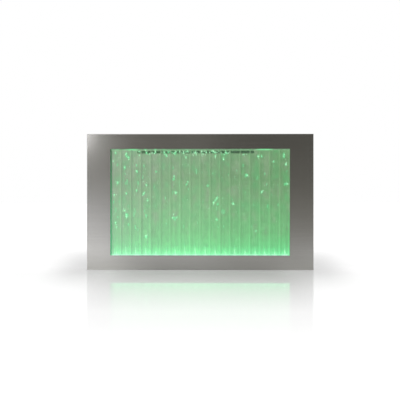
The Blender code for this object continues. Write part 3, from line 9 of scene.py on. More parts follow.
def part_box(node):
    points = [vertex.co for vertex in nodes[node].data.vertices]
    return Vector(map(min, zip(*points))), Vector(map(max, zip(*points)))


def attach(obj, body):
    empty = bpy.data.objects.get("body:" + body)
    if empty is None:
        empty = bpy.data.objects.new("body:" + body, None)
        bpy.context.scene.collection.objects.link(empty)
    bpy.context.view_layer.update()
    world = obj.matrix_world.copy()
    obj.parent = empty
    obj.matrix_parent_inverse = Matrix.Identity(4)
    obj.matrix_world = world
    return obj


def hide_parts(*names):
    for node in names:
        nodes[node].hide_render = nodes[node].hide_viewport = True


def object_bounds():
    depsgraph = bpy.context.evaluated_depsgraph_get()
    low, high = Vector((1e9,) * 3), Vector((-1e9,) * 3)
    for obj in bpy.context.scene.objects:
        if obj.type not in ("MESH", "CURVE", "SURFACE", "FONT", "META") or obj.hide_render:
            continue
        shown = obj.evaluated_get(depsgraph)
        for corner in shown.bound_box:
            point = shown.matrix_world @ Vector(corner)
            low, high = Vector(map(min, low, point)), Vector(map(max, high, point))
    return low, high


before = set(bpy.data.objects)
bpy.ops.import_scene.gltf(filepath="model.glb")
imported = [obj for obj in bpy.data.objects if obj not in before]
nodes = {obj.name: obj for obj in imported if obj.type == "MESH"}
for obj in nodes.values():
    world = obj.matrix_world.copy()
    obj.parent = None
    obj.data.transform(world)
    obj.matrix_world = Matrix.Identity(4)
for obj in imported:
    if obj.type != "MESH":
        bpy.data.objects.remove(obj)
cadLow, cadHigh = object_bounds()
print("frame loaded,", len(nodes), "nodes")

# Places that the tank gives
gasketBand = 0.012
wallLow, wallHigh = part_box("tank_left_wall")
waterLeft, waterRight = wallHigh.x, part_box("tank_right_wall")[0].x
waterFront, waterBack = wallLow.y, wallHigh.y
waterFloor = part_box("tank_bottom_bar")[1].z
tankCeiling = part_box("tank_top_bar")[0].z
middleWater = (waterFront + waterBack) / 2
dividerNames = sorted(name for name in nodes if name.startswith("channel_divider"))
dividerLow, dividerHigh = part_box(dividerNames[0])
dividerThickness = dividerHigh.x - dividerLow.x
channelCount = len(dividerNames) + 1
channelPitch = (waterRight - waterLeft) / channelCount
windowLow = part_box("window_gasket")[0].z + gasketBand
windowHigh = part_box("window_gasket")[1].z - gasketBand
faceBack = Matrix.Rotation(-math.pi / 2, 4, "X")  # turns +Z to +Y


# Node helpers. Those without a tree work in the tree of the values that they get
def plug(value, socket):
    if isinstance(value, bpy.types.NodeSocket):
        socket.id_data.links.new(value, socket)
    else:
        socket.default_value = (*value, 1.0) if socket.type == "RGBA" else value


def feed(node, inputs):
    for name, value in inputs.items():
        plug(value, node.inputs[name])


def addNode(tree, kind, inputs=None, **settings):
    node = tree.nodes.new("ShaderNode" + kind)
    for name, value in settings.items():
        setattr(node, name, value)
    feed(node, inputs or {})
    return node


def treeOf(values):
    return next(value.id_data for value in values if isinstance(value, bpy.types.NodeSocket))


def sums(operation, *values, kind="Math", **settings):
    node = addNode(treeOf(values), kind, operation=operation, **settings)
    for socket, value in zip(node.inputs, values):
        plug(value, socket)
    return node.outputs[0]


def plus(total, *others):
    for other in others:
        total = sums("ADD", total, other)
    return total


def times(product, *others):
    for other in others:
        product = sums("MULTIPLY", product, other)
    return product


def minus(first, second):
    return sums("SUBTRACT", first, second)


def apart(first, second):
    return sums("ABSOLUTE", minus(first, second))


def rootOfSquares(first, second):
    return sums("SQRT", plus(times(first, first), times(second, second)))


def under(value, limit):
    return sums("LESS_THAN", value, limit)


def over(value, limit):
    return sums("GREATER_THAN", value, limit)


def vectorSums(operation, *values):
    return sums(operation, *values, kind="VectorMath")


def scaled(vector, *sizes):
    return vectorSums("MULTIPLY", vector, sizes)


def mixColours(share, first, second, mode="MIX"):
    node = addNode(treeOf((share, first, second)), "Mix", data_type="RGBA", blend_type=mode)
    for index, value in ((0, share), (6, first), (7, second)):
        plug(value, node.inputs[index])
    return node.outputs[2]


def remap(value, fromLow, fromHigh, toLow=0.0, toHigh=1.0, smooth=False):
    node = addNode(value.id_data, "MapRange", interpolation_type="SMOOTHSTEP" if smooth else "LINEAR")
    for socket, number in zip(node.inputs, (value, fromLow, fromHigh, toLow, toHigh)):
        plug(number, socket)
    return node.outputs[0]


def mixNumbers(share, first, second):
    return remap(share, 0.0, 1.0, first, second)


def stretch(value, low=0.0, high=1.0):
    return remap(value, 0.3, 0.7, low, high)  # most of a noise lies there


def rise(value, low, high, top=1.0):
    return remap(value, low, high, 0.0, top, True)


def fade(value, reach, top=1.0):
    return remap(value, 0.0, reach, top, 0.0, True)


def noise(vector, scale, detail=2.0, roughness=0.5):
    inputs = {"Vector": vector, "Scale": scale, "Detail": detail, "Roughness": roughness}
    return addNode(vector.id_data, "TexNoise", inputs).outputs["Fac"]


def ramp(value, stops):
    node = addNode(value.id_data, "ValToRGB", {"Fac": value})
    elements = node.color_ramp.elements
    while len(elements) < len(stops):
        elements.new(0.5)
    for element, (position, colour) in zip(elements, stops):
        element.position = position
        element.color = (*colour, 1.0)
    return node.outputs["Color"]


def greyColour(level):
    return addNode(level.id_data, "CombineColor", dict.fromkeys(("Red", "Green", "Blue"), level)).outputs[0]


def shaded(colour, level):
    return mixColours(1.0, colour, greyColour(level), "MULTIPLY")


def place(tree):
    return addNode(tree, "TexCoord").outputs["Object"]


def axes(vector):
    return addNode(vector.id_data, "SeparateXYZ", {"Vector": vector}).outputs


def newGroup(name, inputs, outputs, vectors=()):
    group = bpy.data.node_groups.new(name, "ShaderNodeTree")
    for socket in inputs + outputs:
        side = "INPUT" if socket in inputs else "OUTPUT"
        kind = "NodeSocketVector" if socket in vectors else "NodeSocketFloat"
        group.interface.new_socket(name=socket, in_out=side, socket_type=kind)
    return group, group.nodes.new("NodeGroupInput").outputs, group.nodes.new("NodeGroupOutput")


def useGroup(tree, group, **inputs):
    return addNode(tree, "Group", inputs, node_tree=group).outputs


# Short names for the shader's inputs
inputNames = dict(
    base="Base Color", rough="Roughness", metal="Metallic", specular="Specular IOR Level", alpha="Alpha",
    glow="Emission Color", strength="Emission Strength", through="Transmission Weight", ior="IOR",
)


def finish(material, grain=None, **inputs):
    # Grain is the height for a Bump node, its distance and its strength
    tree = material.node_tree
    shader = tree.nodes["Principled BSDF"]
    feed(shader, {inputNames[name]: value for name, value in inputs.items()})
    if grain:
        bump = addNode(tree, "Bump", dict(zip(("Height", "Distance", "Strength"), grain)))
        plug(bump.outputs["Normal"], shader.inputs["Normal"])
    return material


def newMaterial(name, colour, roughness, metallic=0.0):
    material = bpy.data.materials.new(name)
    material.use_nodes = True
    return finish(material, base=colour, rough=roughness, metal=metallic), material.node_tree


# Shared effects
def makeEdgeWear():
    vectors = ("Centre", "Half size")
    group, given, out = newGroup("edge wear", vectors + ("Width", "Break up"), ("Mask",), vectors)
    here = place(group)
    away = vectorSums("ABSOLUTE", vectorSums("SUBTRACT", here, given["Centre"]))
    near = [fade(side, given["Width"]) for side in axes(vectorSums("SUBTRACT", given["Half size"], away))]
    pairs = [times(near[i], near[i - 1]) for i in range(3)]
    edge = sums("ADD", plus(pairs[0], pairs[1]), pairs[2], use_clamp=True)
    patches = remap(noise(here, given["Break up"], 3.0), 0.35, 0.65, 0.25, 1.0)
    feed(out, {"Mask": times(edge, patches)})
    return group


def makeBrushing():
    # Lines run along X on front and top, and along Y on the two ends, as on a folded sheet
    group, given, out = newGroup("brushed grain", ("Length", "Line"), ("Fine", "Broad", "Cloud"))
    coordinates = addNode(group, "TexCoord").outputs
    x, y, z = axes(coordinates["Object"])
    facing = axes(vectorSums("ABSOLUTE", coordinates["Normal"]))
    onEnd, onTop = over(facing[0], 0.7), over(facing[2], 0.7)
    stretched = {
        "X": sums("DIVIDE", mixNumbers(onEnd, x, y), given["Length"]),
        "Y": sums("DIVIDE", mixNumbers(onTop, z, y), given["Line"]),
        "Z": times(plus(onEnd, onTop), 7.3),
    }
    stretched = addNode(group, "CombineXYZ", stretched).outputs[0]
    fine = noise(stretched, 1.0, 3.0, 0.65)
    broad = noise(scaled(stretched, 0.4, 0.12, 1.0), 1.0)
    feed(out, {"Fine": fine, "Broad": broad, "Cloud": noise(coordinates["Object"], 4.0, 3.0)})
    return group


def makeSpangle():
    # Crystals of zinc with bent edges, and straight broken scratches
    group, given, out = newGroup("zinc spangle", ("Crystal",), ("Tone", "Scratch"))
    here = place(group)
    scale = sums("DIVIDE", 1.0, given["Crystal"])
    warp = addNode(group, "TexNoise", {"Vector": here, "Scale": scale}).outputs["Color"]
    bent = vectorSums("ADD", here, scaled(warp, 0.006, 0.006, 0.006))
    cells = addNode(group, "TexVoronoi", {"Vector": bent, "Scale": scale}).outputs["Color"]
    offLine = apart(noise(scaled(here, 0.8, 0.8, 70.0), 3.0, 1.0), 0.5)
    broken = rise(noise(here, 28.0), 0.52, 0.62)
    scratch = times(remap(offLine, 0.0, 0.004, 1.0, 0.0), broken)
    feed(out, {"Tone": axes(cells)[0], "Scratch": scratch})
    return group


def makeGrain():
    group, given, out = newGroup("moulded grain", ("Size",), ("Height", "Tone"))
    here = place(group)
    pebbles = {"Vector": here, "Scale": sums("DIVIDE", 1.0, given["Size"])}
    pebbles = addNode(group, "TexVoronoi", pebbles).outputs["Distance"]
    feed(out, {"Height": pebbles, "Tone": noise(here, 35.0, 4.0)})
    return group


def makeDust():
    # More of it on faces that look up
    group, given, out = newGroup("dust", ("Amount",), ("Mask",))
    coordinates = addNode(group, "TexCoord").outputs
    up = remap(axes(coordinates["Normal"])[2], 0.2, 1.0, 0.12, 1.0, True)
    specks = remap(noise(coordinates["Object"], 90.0, 6.0, 0.7), 0.45, 0.75)
    feed(out, {"Mask": times(up, specks, given["Amount"])})
    return group


def makeChannels():
    # Share runs from 0 at the divider on the left to 1 at the divider on the right
    outputs = ("Share", "Number", "Height")
    group, given, out = newGroup("channel place", ("Left", "Pitch", "Low", "High"), outputs)
    x, y, z = axes(place(group))
    count = sums("DIVIDE", minus(x, given["Left"]), given["Pitch"])
    height = remap(z, given["Low"], given["High"])
    feed(out, {"Share": sums("FRACT", count), "Number": sums("FLOOR", count), "Height": height})
    return group


edgeWear = makeEdgeWear()
brushing = makeBrushing()
spangle = makeSpangle()
mouldedGrain = makeGrain()
dust = makeDust()
channelPlace = makeChannels()
print("shared effects made")


def wearOn(tree, node, width, breakUp=60.0):
    low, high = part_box(node)
    box = {"Centre": (low + high) / 2, "Half size": (high - low) / 2}
    return useGroup(tree, edgeWear, **box, **{"Width": width, "Break up": breakUp})["Mask"]


def dustOn(tree, amount):
    return useGroup(tree, dust, Amount=amount)["Mask"]


def channelsOf(tree):
    return useGroup(tree, channelPlace, Left=waterLeft, Pitch=channelPitch, Low=windowLow, High=windowHigh)


# Finishes
brushedSteel = dict(
    colour=(0.30, 0.296, 0.276), worn=(0.40, 0.395, 0.38), dust=(0.30, 0.29, 0.27),
    roughness=0.2,
    grainLength=0.16, grainLine=0.0009, grainDepth=0.000012,
    edge=0.0022,
)


def makeBrushedSteel(node):
    look = brushedSteel
    level = look["roughness"]
    material, tree = newMaterial("brushed steel " + node, look["colour"], level, 1.0)
    grain = useGroup(tree, brushing, Length=look["grainLength"], Line=look["grainLine"])
    dusty = dustOn(tree, 0.10)
    base = shaded(look["colour"], stretch(grain["Fine"], 0.93, 1.05))
    base = shaded(base, stretch(grain["Broad"], 0.97, 1.03))
    base = mixColours(times(wearOn(tree, node, look["edge"]), 0.6), base, look["worn"])
    rough = remap(grain["Fine"], 0.25, 0.75, level - 0.03, level + 0.05)
    rough = plus(rough, remap(grain["Cloud"], 0.35, 0.7, -0.015, 0.025), times(dusty, 0.4))
    base = mixColours(dusty, base, look["dust"])
    return finish(material, (grain["Fine"], look["grainDepth"], 0.6), base=base, rough=rough)


platedSteel = dict(
    dark=(0.36, 0.37, 0.385), light=(0.56, 0.565, 0.57), worn=(0.66, 0.66, 0.65), dust=(0.34, 0.32, 0.29),
    crystal=0.011,
    edge=0.0016,
)


def makePlatedSteel(node, crystal=platedSteel["crystal"], tone=1.0):
    look = platedSteel
    material, tree = newMaterial("plated steel " + node, look["light"], 0.4, 1.0)
    zinc = useGroup(tree, spangle, Crystal=crystal)
    patches = plus(times(zinc["Tone"], 0.6), times(noise(place(tree), 7.0, 4.0), 0.4))
    dark, light = [tuple(part * tone for part in look[shade]) for shade in ("dark", "light")]
    worn = sums("MAXIMUM", wearOn(tree, node, look["edge"]), times(zinc["Scratch"], 0.35))
    base = mixColours(worn, mixColours(patches, dark, light), look["worn"])
    base = mixColours(dustOn(tree, 0.35), base, look["dust"])
    rough = minus(mixNumbers(zinc["Tone"], 0.34, 0.5), times(worn, 0.08))
    return finish(material, (zinc["Tone"], 0.00003, 0.4), base=base, rough=rough)


# The colour of each moulded material, then its worn edges
mouldedColours = {
    "rubber": ((0.022, 0.022, 0.023), (0.07, 0.07, 0.068)),
    "cable jacket": ((0.03, 0.03, 0.031), (0.05, 0.05, 0.05)),
    "black plastic": ((0.030, 0.030, 0.032), (0.10, 0.10, 0.10)),
    "grey plastic": ((0.22, 0.23, 0.24), (0.38, 0.39, 0.40)),
    # The trough is grey plastic: its near black green here is painted shade and painted green light of the
    # tank
    "trough plastic": ((0.02, 0.05, 0.03), (0.06, 0.10, 0.08)),
    "white paint": ((0.62, 0.62, 0.60), (0.34, 0.34, 0.33)),
}
mouldedDust = (0.36, 0.34, 0.31)


def makeMoulded(node, name, roughness=0.5, grainSize=0.0006):
    colour, worn = mouldedColours[name]
    material, tree = newMaterial(name + " " + node, colour, roughness)
    grain = useGroup(tree, mouldedGrain, Size=grainSize)
    edge = wearOn(tree, node, 0.0009, 200.0)
    base = shaded(colour, stretch(grain["Tone"], 0.85, 1.15))
    base = mixColours(dustOn(tree, 0.4), mixColours(times(edge, 0.7), base, worn), mouldedDust)
    rough = remap(grain["Tone"], 0.25, 0.75, roughness - 0.07, roughness + 0.07)
    rough = minus(rough, times(edge, 0.1))
    return finish(material, (grain["Height"], 0.00006, 0.5), base=base, rough=rough)


def makeBrass(node):
    colour, dull, worn = (0.62, 0.44, 0.17), (0.33, 0.21, 0.09), (0.74, 0.56, 0.26)
    material, tree = newMaterial("turned brass " + node, colour, 0.3, 1.0)
    here = place(tree)
    stain = remap(noise(here, 120.0, 5.0), 0.4, 0.7)
    wave = {"Vector": here, "Scale": 450.0, "Distortion": 0.4}
    rings = addNode(tree, "TexWave", wave, bands_direction="DIAGONAL").outputs["Fac"]
    base = mixColours(times(stain, 0.6), colour, dull)
    base = mixColours(wearOn(tree, node, 0.001, 150.0), base, worn)
    return finish(material, (rings, 0.00002, 0.5), base=base, rough=mixNumbers(stain, 0.24, 0.45))


def makeAluminium(node):
    # Drawn lines run along X
    material, tree = newMaterial("extruded aluminium " + node, (0.62, 0.62, 0.62), 0.35, 1.0)
    lines = noise(scaled(place(tree), 4.0, 900.0, 900.0), 1.0, 3.0)
    base = mixColours(lines, (0.5, 0.505, 0.51), (0.7, 0.7, 0.7))
    base = mixColours(wearOn(tree, node, 0.0008), base, (0.8, 0.8, 0.8))
    return finish(material, (lines, 0.00002, 0.5), base=base, rough=stretch(lines, 0.28, 0.42))


# The lit tank. Heights are shares of the window's height
litSheet = dict(
    glow=(
        (0.0, (0.22, 0.84, 0.40)), (0.03, (0.125, 0.68, 0.245)), (0.085, (0.105, 0.535, 0.175)),
        (0.2, (0.115, 0.44, 0.15)), (0.5, (0.13, 0.34, 0.135)), (0.75, (0.12, 0.27, 0.11)),
        (1.0, (0.13, 0.30, 0.125)),
    ),
    veil=(0.10, 0.078, 0.10), veilFrom=-0.34, veilTo=0.34,
    swell=0.09, swellMiddle=-0.03, swellReach=0.36,
    green=(0.075, 0.40, 0.125), pale=(0.22, 0.33, 0.19),
    cloudShare=0.52, cloudLevel=0.09,
    mottle=0.045,
    darkBesideDivider=0.20, darkLowDown=0.14,
    lightBesideDivider=0.21, lightLowDown=0.21,
    shadowSlope=0.12, shadowLeft=1.15, shadowRight=0.6,
    lightLeft=1.6,
    wallShade=0.22, wallReach=0.006,
    rays=0.13, threads=0.13, cones=0.10,
    evenness=0.03,
)
deepGreen = (0.03, 0.06, 0.035)


def glowAt(height):
    # Brightest in the middle of the tank's lower part
    look, tree = litSheet, height.id_data
    swell = fade(apart(axes(place(tree))[0], look["swellMiddle"]), look["swellReach"], look["swell"])
    gain = {"Red": 1.0, "Green": plus(times(swell, rise(height, 0.95, 0.7)), 1.0), "Blue": 1.0}
    gain = addNode(tree, "CombineColor", gain).outputs[0]
    return mixColours(1.0, ramp(height, look["glow"]), gain, "MULTIPLY")


def addVeil(colour):
    # Stray light lies over the left side
    look = litSheet
    share = remap(axes(place(colour.id_data))[0], look["veilFrom"], look["veilTo"], 1.0, 0.0)
    return mixColours(1.0, colour, mixColours(share, (0.0, 0.0, 0.0), look["veil"]), "ADD")


def makeLitSheet(node):
    look = litSheet
    material, tree = newMaterial("lit frosted sheet " + node, deepGreen, 0.55)
    channels = channelsOf(tree)
    share, height = channels["Share"], channels["Height"]
    here = place(tree)
    x = axes(here)[0]
    # Soft blotches in the upper part, some greener and some paler than the rest
    upper = times(rise(height, 0.02, 0.45), look["cloudShare"])
    clouds = noise(scaled(here, 1.0, 1.0, 0.6), 22.0, 3.0, 0.6)
    colour = mixColours(times(remap(clouds, 0.52, 0.66), upper), glowAt(height), look["green"])
    colour = mixColours(times(remap(clouds, 0.48, 0.36), upper), colour, look["pale"])
    blots = noise(vectorSums("ADD", here, (3.1, 0.0, 1.7)), 48.0, 4.0, 0.6)
    blots = remap(blots, 0.35, 0.65, -look["cloudLevel"], look["cloudLevel"])
    mottle = remap(x, -0.35, 0.3, look["mottle"], look["mottle"] * 0.4)
    fine = times(minus(noise(here, 110.0, 2.0, 0.6), 0.5), 6.0)
    blots = sums("MULTIPLY_ADD", fine, mottle, blots)
    # Shadow on the right of each divider and the gathered light on its left
    bands = sums("FRACT", plus(share, sums("MULTIPLY_ADD", x, -look["shadowSlope"], 1.0)))
    deepest = remap(height, 0.1, 0.6, look["darkLowDown"], look["darkBesideDivider"])
    dark = remap(bands, 0.05, 0.24, deepest, 0.0, True)
    dark = times(dark, remap(x, -0.3, 0.25, look["shadowLeft"], look["shadowRight"]))
    # Painted shadow of the tank's left wall, darkening the sheet along its left edge
    wall = remap(x, waterLeft, waterLeft + look["wallReach"], look["wallShade"], 0.0, True)
    lightest = remap(height, 0.1, 0.6, look["lightLowDown"], look["lightBesideDivider"])
    light = times(rise(bands, 0.81, 0.91, lightest), remap(x, -0.3, 0.1, look["lightLeft"], 1.0))
    level = plus(minus(1.0, plus(dark, wall)), plus(light, blots))
    # Fine upright rays and a cone over each air hole, both stronger near the lamps
    rays = stretch(noise(scaled(here, 230.0, 1.0, 2.2), 1.0, 2.0, 0.6), -look["rays"], look["rays"])
    threads = apart(noise(scaled(here, 120.0, 1.0, 1.4), 1.0, 1.0), 0.5)
    rays = plus(rays, remap(threads, 0.0, 0.03, look["threads"], 0.0))
    rays = times(rays, remap(height, 0.0, 0.6, 1.0, 0.12, True))
    coneWidth = remap(height, 0.0, 0.14, 0.42, 0.1)
    cone = times(fade(apart(share, 0.5), coneWidth, look["cones"]), fade(height, 0.16))
    level = plus(level, rays, cone)
    # Channels differ a little from one to the next
    each = addNode(tree, "TexWhiteNoise", {"W": channels["Number"]}, noise_dimensions="1D")
    each = mixNumbers(each.outputs["Value"], 1.0 - look["evenness"], 1.0 + look["evenness"])
    glow = addVeil(shaded(colour, times(level, each)))
    frost = noise(here, 900.0, 3.0)
    rough = stretch(frost, 0.45, 0.65)
    return finish(material, (frost, 0.00004, 0.5), glow=glow, strength=1.0, specular=0.15, rough=rough)


def makeClearPane(node):
    # Faint wipe marks, seen only in gloss
    material, tree = newMaterial("clear acrylic " + node, (0.985, 1.0, 0.99), 0.0)
    wipes = noise(scaled(place(tree), 9.0, 9.0, 25.0), 1.0, 4.0, 0.6)
    return finish(material, through=1.0, ior=1.49, rough=remap(wipes, 0.5, 0.75, 0.0, 0.012))


channelWall = dict(
    lightGain=1.5, darkGain=0.78, edgeGainLeft=0.86, edgeGainRight=1.08, sideAlpha=0.5, edgeAlpha=0.72
)


def makeChannelWall():
    # The side that looks left gathers light, and the side that looks right stays dark
    look = channelWall
    material, tree = newMaterial("channel wall", deepGreen, 0.08)
    here = place(tree)
    normal = axes(addNode(tree, "TexCoord").outputs["Normal"])
    looksLeft, onEdge = under(normal[0], -0.5), under(normal[1], -0.5)
    streaks = noise(scaled(here, 1.0, 300.0, 6.0), 1.0, 3.0)
    side = mixNumbers(looksLeft, look["darkGain"], look["lightGain"])
    edge = remap(axes(here)[0], -0.3, -0.05, look["edgeGainLeft"], look["edgeGainRight"])
    gain = plus(mixNumbers(onEdge, side, edge), stretch(streaks, -0.06, 0.06))
    glow = addVeil(shaded(glowAt(channelsOf(tree)["Height"]), gain))
    alpha = mixNumbers(onEdge, look["sideAlpha"], look["edgeAlpha"])
    rough = stretch(streaks, 0.04, 0.16)
    return finish(material, glow=glow, strength=1.0, alpha=alpha, rough=rough, specular=0.0)


def makeGlowingAcrylic(node, near, far, scale):
    # Brightest over the middle of each channel
    material, tree = newMaterial("glowing acrylic " + node, (0.04, 0.12, 0.06), 0.12)
    patches = noise(place(tree), scale, 3.0)
    bright = remap(apart(channelsOf(tree)["Share"], 0.5), 0.0, 0.5, 1.0, 0.35, True)
    amount = sums("MULTIPLY", bright, stretch(patches, 0.6, 1.25), use_clamp=True)
    glow = mixColours(amount, near, far)
    return finish(material, glow=glow, strength=1.0, rough=stretch(patches, 0.06, 0.2))


# The light that leaves the water gathers in a few spots along the bar: across, half width and strength
topBarLook = dict(
    base=(0.115, 0.24, 0.12), lit=(0.16, 0.66, 0.27),
    spots=(
        (-0.367, 0.012, 0.35), (-0.329, 0.009, 0.5), (-0.300, 0.034, 1.0), (-0.242, 0.008, 0.8),
        (-0.198, 0.008, 0.9), (-0.160, 0.010, 0.4), (-0.060, 0.012, 0.3), (0.285, 0.05, 1.0),
    ),
    core=0.3, patches=0.15,
)


def makeTopBar(node):
    look = topBarLook
    material, tree = newMaterial("top bar " + node, (0.04, 0.10, 0.05), 0.12)
    here = place(tree)
    x = axes(here)[0]
    amount = patches = remap(noise(here, 30.0, 3.0), 0.35, 0.65, 0.0, look["patches"])
    for across, half, strength in look["spots"]:
        spot = remap(apart(x, across), half * look["core"], half, strength, 0.0, True)
        amount = sums("MAXIMUM", amount, spot)
    rough = remap(patches, 0.0, look["patches"], 0.08, 0.2)
    return finish(material, glow=mixColours(amount, look["base"], look["lit"]), strength=1.0, rough=rough)


def makeTankWall(node, low, high):
    # Dim at the top, brighter near the lamps
    material, tree = newMaterial("tank wall " + node, (0.02, 0.05, 0.03), 0.1)
    streaks = noise(scaled(place(tree), 1.0, 160.0, 5.0), 1.0, 3.0)
    glow = mixColours(mixNumbers(channelsOf(tree)["Height"], 1.0, 0.0), high, low)
    strength, rough = stretch(streaks, 0.85, 1.15), stretch(streaks, 0.06, 0.2)
    return finish(material, glow=glow, strength=strength, rough=rough, specular=0.0)


airLook = dict(
    faint=(0.12, 0.82, 0.31), clear=(0.32, 0.95, 0.46), lit=(0.80, 1.0, 0.84),
    brightFrom=0.45, brightTo=0.6, least=0.75,
)


def makeBubbleSkin():
    # Bright ones have a lit rim, top and foot; faint ones are soft patches of light in the water
    look = airLook
    material, tree = newMaterial("air bubble", (0.10, 0.30, 0.16), 0.03)
    glow = addNode(tree, "Attribute", attribute_name="glow").outputs["Fac"]
    normal = axes(addNode(tree, "TexCoord").outputs["Normal"])
    soft = rise(times(normal[1], -1.0), 0.1, 0.95)
    rim = rise(sums("ABSOLUTE", normal[1]), 0.75, 0.2)
    below, above = rise(normal[2], -0.2, -0.8), rise(normal[2], 0.55, 0.95, 0.8)
    lit = sums("MAXIMUM", sums("MAXIMUM", below, above), rim)
    isBright = rise(glow, look["brightFrom"], look["brightTo"])
    colour = mixColours(isBright, look["faint"], mixColours(lit, look["clear"], look["lit"]))
    solid = mixNumbers(isBright, soft, mixNumbers(lit, 0.7, 1.0))
    alpha = sums("MULTIPLY", glow, solid, use_clamp=True)
    return finish(material, glow=colour, strength=mixNumbers(glow, look["least"], 1.0), alpha=alpha)


def makeTrough(node):
    # Grey plastic in the green light of the tank, stronger towards the left
    material = makeMoulded(node, "trough plastic")
    here = place(material.node_tree)
    side = remap(axes(here)[0], -0.28, 0.24)
    glow = mixColours(side, (0.026, 0.105, 0.030), (0.016, 0.078, 0.022))
    return finish(material, glow=glow, strength=remap(noise(here, 26.0, 3.0), 0.35, 0.65, 0.8, 1.25))


# Half widths on the board are shares of the lamps' pitch
lampBoard = dict(lampHalf=0.115, lampHeight=0.0015, padFrom=0.40, padTo=0.46, copper=(0.70, 0.45, 0.22))


def makeLampBoard(node):
    look = lampBoard
    material, tree = newMaterial("lamp board " + node, (0.74, 0.76, 0.73), 0.45)
    here = place(tree)
    x, y, z = axes(here)
    off = apart(sums("FRACT", sums("DIVIDE", minus(x, waterLeft), channelPitch / 2)), 0.5)
    onLamp = times(under(off, look["lampHalf"]), over(z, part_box(node)[1].z - look["lampHeight"]))
    pads = times(over(off, look["padFrom"]), under(off, look["padTo"]))
    base = mixColours(noise(here, 400.0, 3.0), (0.66, 0.68, 0.65), (0.82, 0.83, 0.80))
    base = mixColours(pads, base, look["copper"])
    # Between the lamps the board glows faintly green: painted light that its lamps throw on it
    glow = mixColours(onLamp, (0.05, 0.25, 0.10), (0.55, 1.0, 0.72))
    return finish(material, base=base, glow=glow, strength=mixNumbers(onLamp, 0.3, 2.5))


# The socket is that far left of the middle, and its pins lie within these half widths and heights
inletLook = dict(
    socketLeft=0.0085, halfX=0.0095, halfY=0.005, pinFrom=0.001, pinTo=0.0159, pin=(0.72, 0.70, 0.64)
)


def makeInletPlastic(node):
    # The three pins inside the socket are bare metal
    look = inletLook
    material, tree = newMaterial("inlet plastic " + node, (0.028, 0.028, 0.03), 0.42)
    low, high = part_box(node)
    x, y, z = axes(place(tree))
    nearX = under(apart(x, (low.x + high.x) / 2 - look["socketLeft"]), look["halfX"])
    nearY = under(apart(y, (low.y + high.y) / 2), look["halfY"])
    inside = times(over(z, low.z + look["pinFrom"]), under(z, low.z + look["pinTo"]))
    pin = times(nearX, nearY, inside)
    grain = useGroup(tree, mouldedGrain, Size=0.0005)
    base = mixColours(stretch(grain["Tone"]), (0.02, 0.02, 0.022), (0.04, 0.04, 0.042))
    base = mixColours(wearOn(tree, node, 0.0008, 200.0), base, (0.12, 0.12, 0.12))
    base = mixColours(pin, base, look["pin"])
    rough = mixNumbers(pin, 0.42, 0.25)
    return finish(material, (grain["Height"], 0.00004, 0.4), base=base, metal=pin, rough=rough)


def makeHose(node):
    material, tree = newMaterial("clear hose " + node, (0.80, 0.86, 0.85), 0.15)
    haze = noise(place(tree), 90.0, 4.0)
    base = mixColours(haze, (0.72, 0.80, 0.78), (0.88, 0.92, 0.9))
    return finish(material, base=base, rough=stretch(haze, 0.1, 0.3), through=0.7, ior=1.4)


# What makes each finish, what it is given, and the nodes that have it
screwNodes = [f"cover_screw_{index}" for index in range(1, 5)]
screwCrystal = 0.002
finishes = (
    (makeBrushedSteel, (), ("front_casing", "fill_lid")),
    (makePlatedSteel, (platedSteel["crystal"], 0.78), ("back_cover",)),
    (makePlatedSteel, (0.005, 1.12), ("hanger_rail",)),
    (makePlatedSteel, (0.005,), ("wall_rail",)),
    (makePlatedSteel, (), ("tank_cradle",)),
    (makePlatedSteel, (0.003,), ("pump_motor", "pump_arm")),
    (makePlatedSteel, (screwCrystal,), screwNodes),
    (makeMoulded, ("rubber", 0.78, 0.0011), ("window_gasket", "bumper_left", "bumper_right", "pump_mount")),
    (makeMoulded, ("rubber", 0.78), ("pump_diaphragm",)),
    (makeMoulded, ("cable jacket", 0.5, 0.0009), ("supply_cable", "pump_cable", "lamp_cable")),
    (makeMoulded, ("black plastic", 0.45), ("service_tray",)),
    (makeMoulded, ("black plastic", 0.35, 0.0004), ("rocker_switch",)),
    (makeMoulded, ("black plastic", 0.4, 0.0004), ("air_knob",)),
    (makeMoulded, ("black plastic",), ("pump_cover",)),
    (makeMoulded, ("grey plastic", 0.45), ("check_valve",)),
    (makeMoulded, ("grey plastic",), ("pump_base", "lamp_driver")),
    (makeMoulded, ("grey plastic", 0.4), ("drain_lever",)),
    (makeClearPane, (), ("tank_front_pane",)),
    (makeLitSheet, (), ("tank_back_pane", "backing_sheet")),
    (makeGlowingAcrylic, ((0.20, 0.84, 0.40), (0.52, 1.0, 0.72), 40.0), ("air_bar",)),
    (makeGlowingAcrylic, ((0.10, 0.42, 0.20), (0.24, 0.64, 0.36), 25.0), ("tank_bottom_bar",)),
    (makeTopBar, (), ("tank_top_bar",)),
    (makeTankWall, ((0.03, 0.42, 0.14), (0.03, 0.125, 0.045)), ("tank_left_wall",)),
    (makeTankWall, ((0.12, 0.24, 0.13), (0.13, 0.215, 0.125)), ("tank_right_wall",)),
    (makeAluminium, (), ("lamp_profile",)),
    (makeLampBoard, (), ("lamp_strip",)),
    (makeInletPlastic, (), ("power_inlet",)),
    (makeTrough, (), ("fill_trough",)),
    (makeBrass, (), ("air_valve", "drain_valve")),
    (makeHose, (), ("air_hose",)),
)


def dressNodes():
    materials = dict.fromkeys(dividerNames, makeChannelWall())
    for make, values, names in finishes:
        materials.update((name, make(name, *values)) for name in names)
    for name, material in materials.items():
        for slot in nodes[name].material_slots:
            slot.material = material


dressNodes()
print("nodes dressed")


def addObject(name, data):
    thing = bpy.data.objects.new(name, data)
    bpy.context.scene.collection.objects.link(thing)
    return thing


def addPiece(name, shape, material, body="panel", smooth=True):
    mesh = bpy.data.meshes.new(name)
    shape.to_mesh(mesh)
    shape.free()
    mesh.materials.append(material)
    if smooth:
        mesh.shade_smooth()
    piece = addObject(name, mesh)
    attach(piece, body)
    return piece


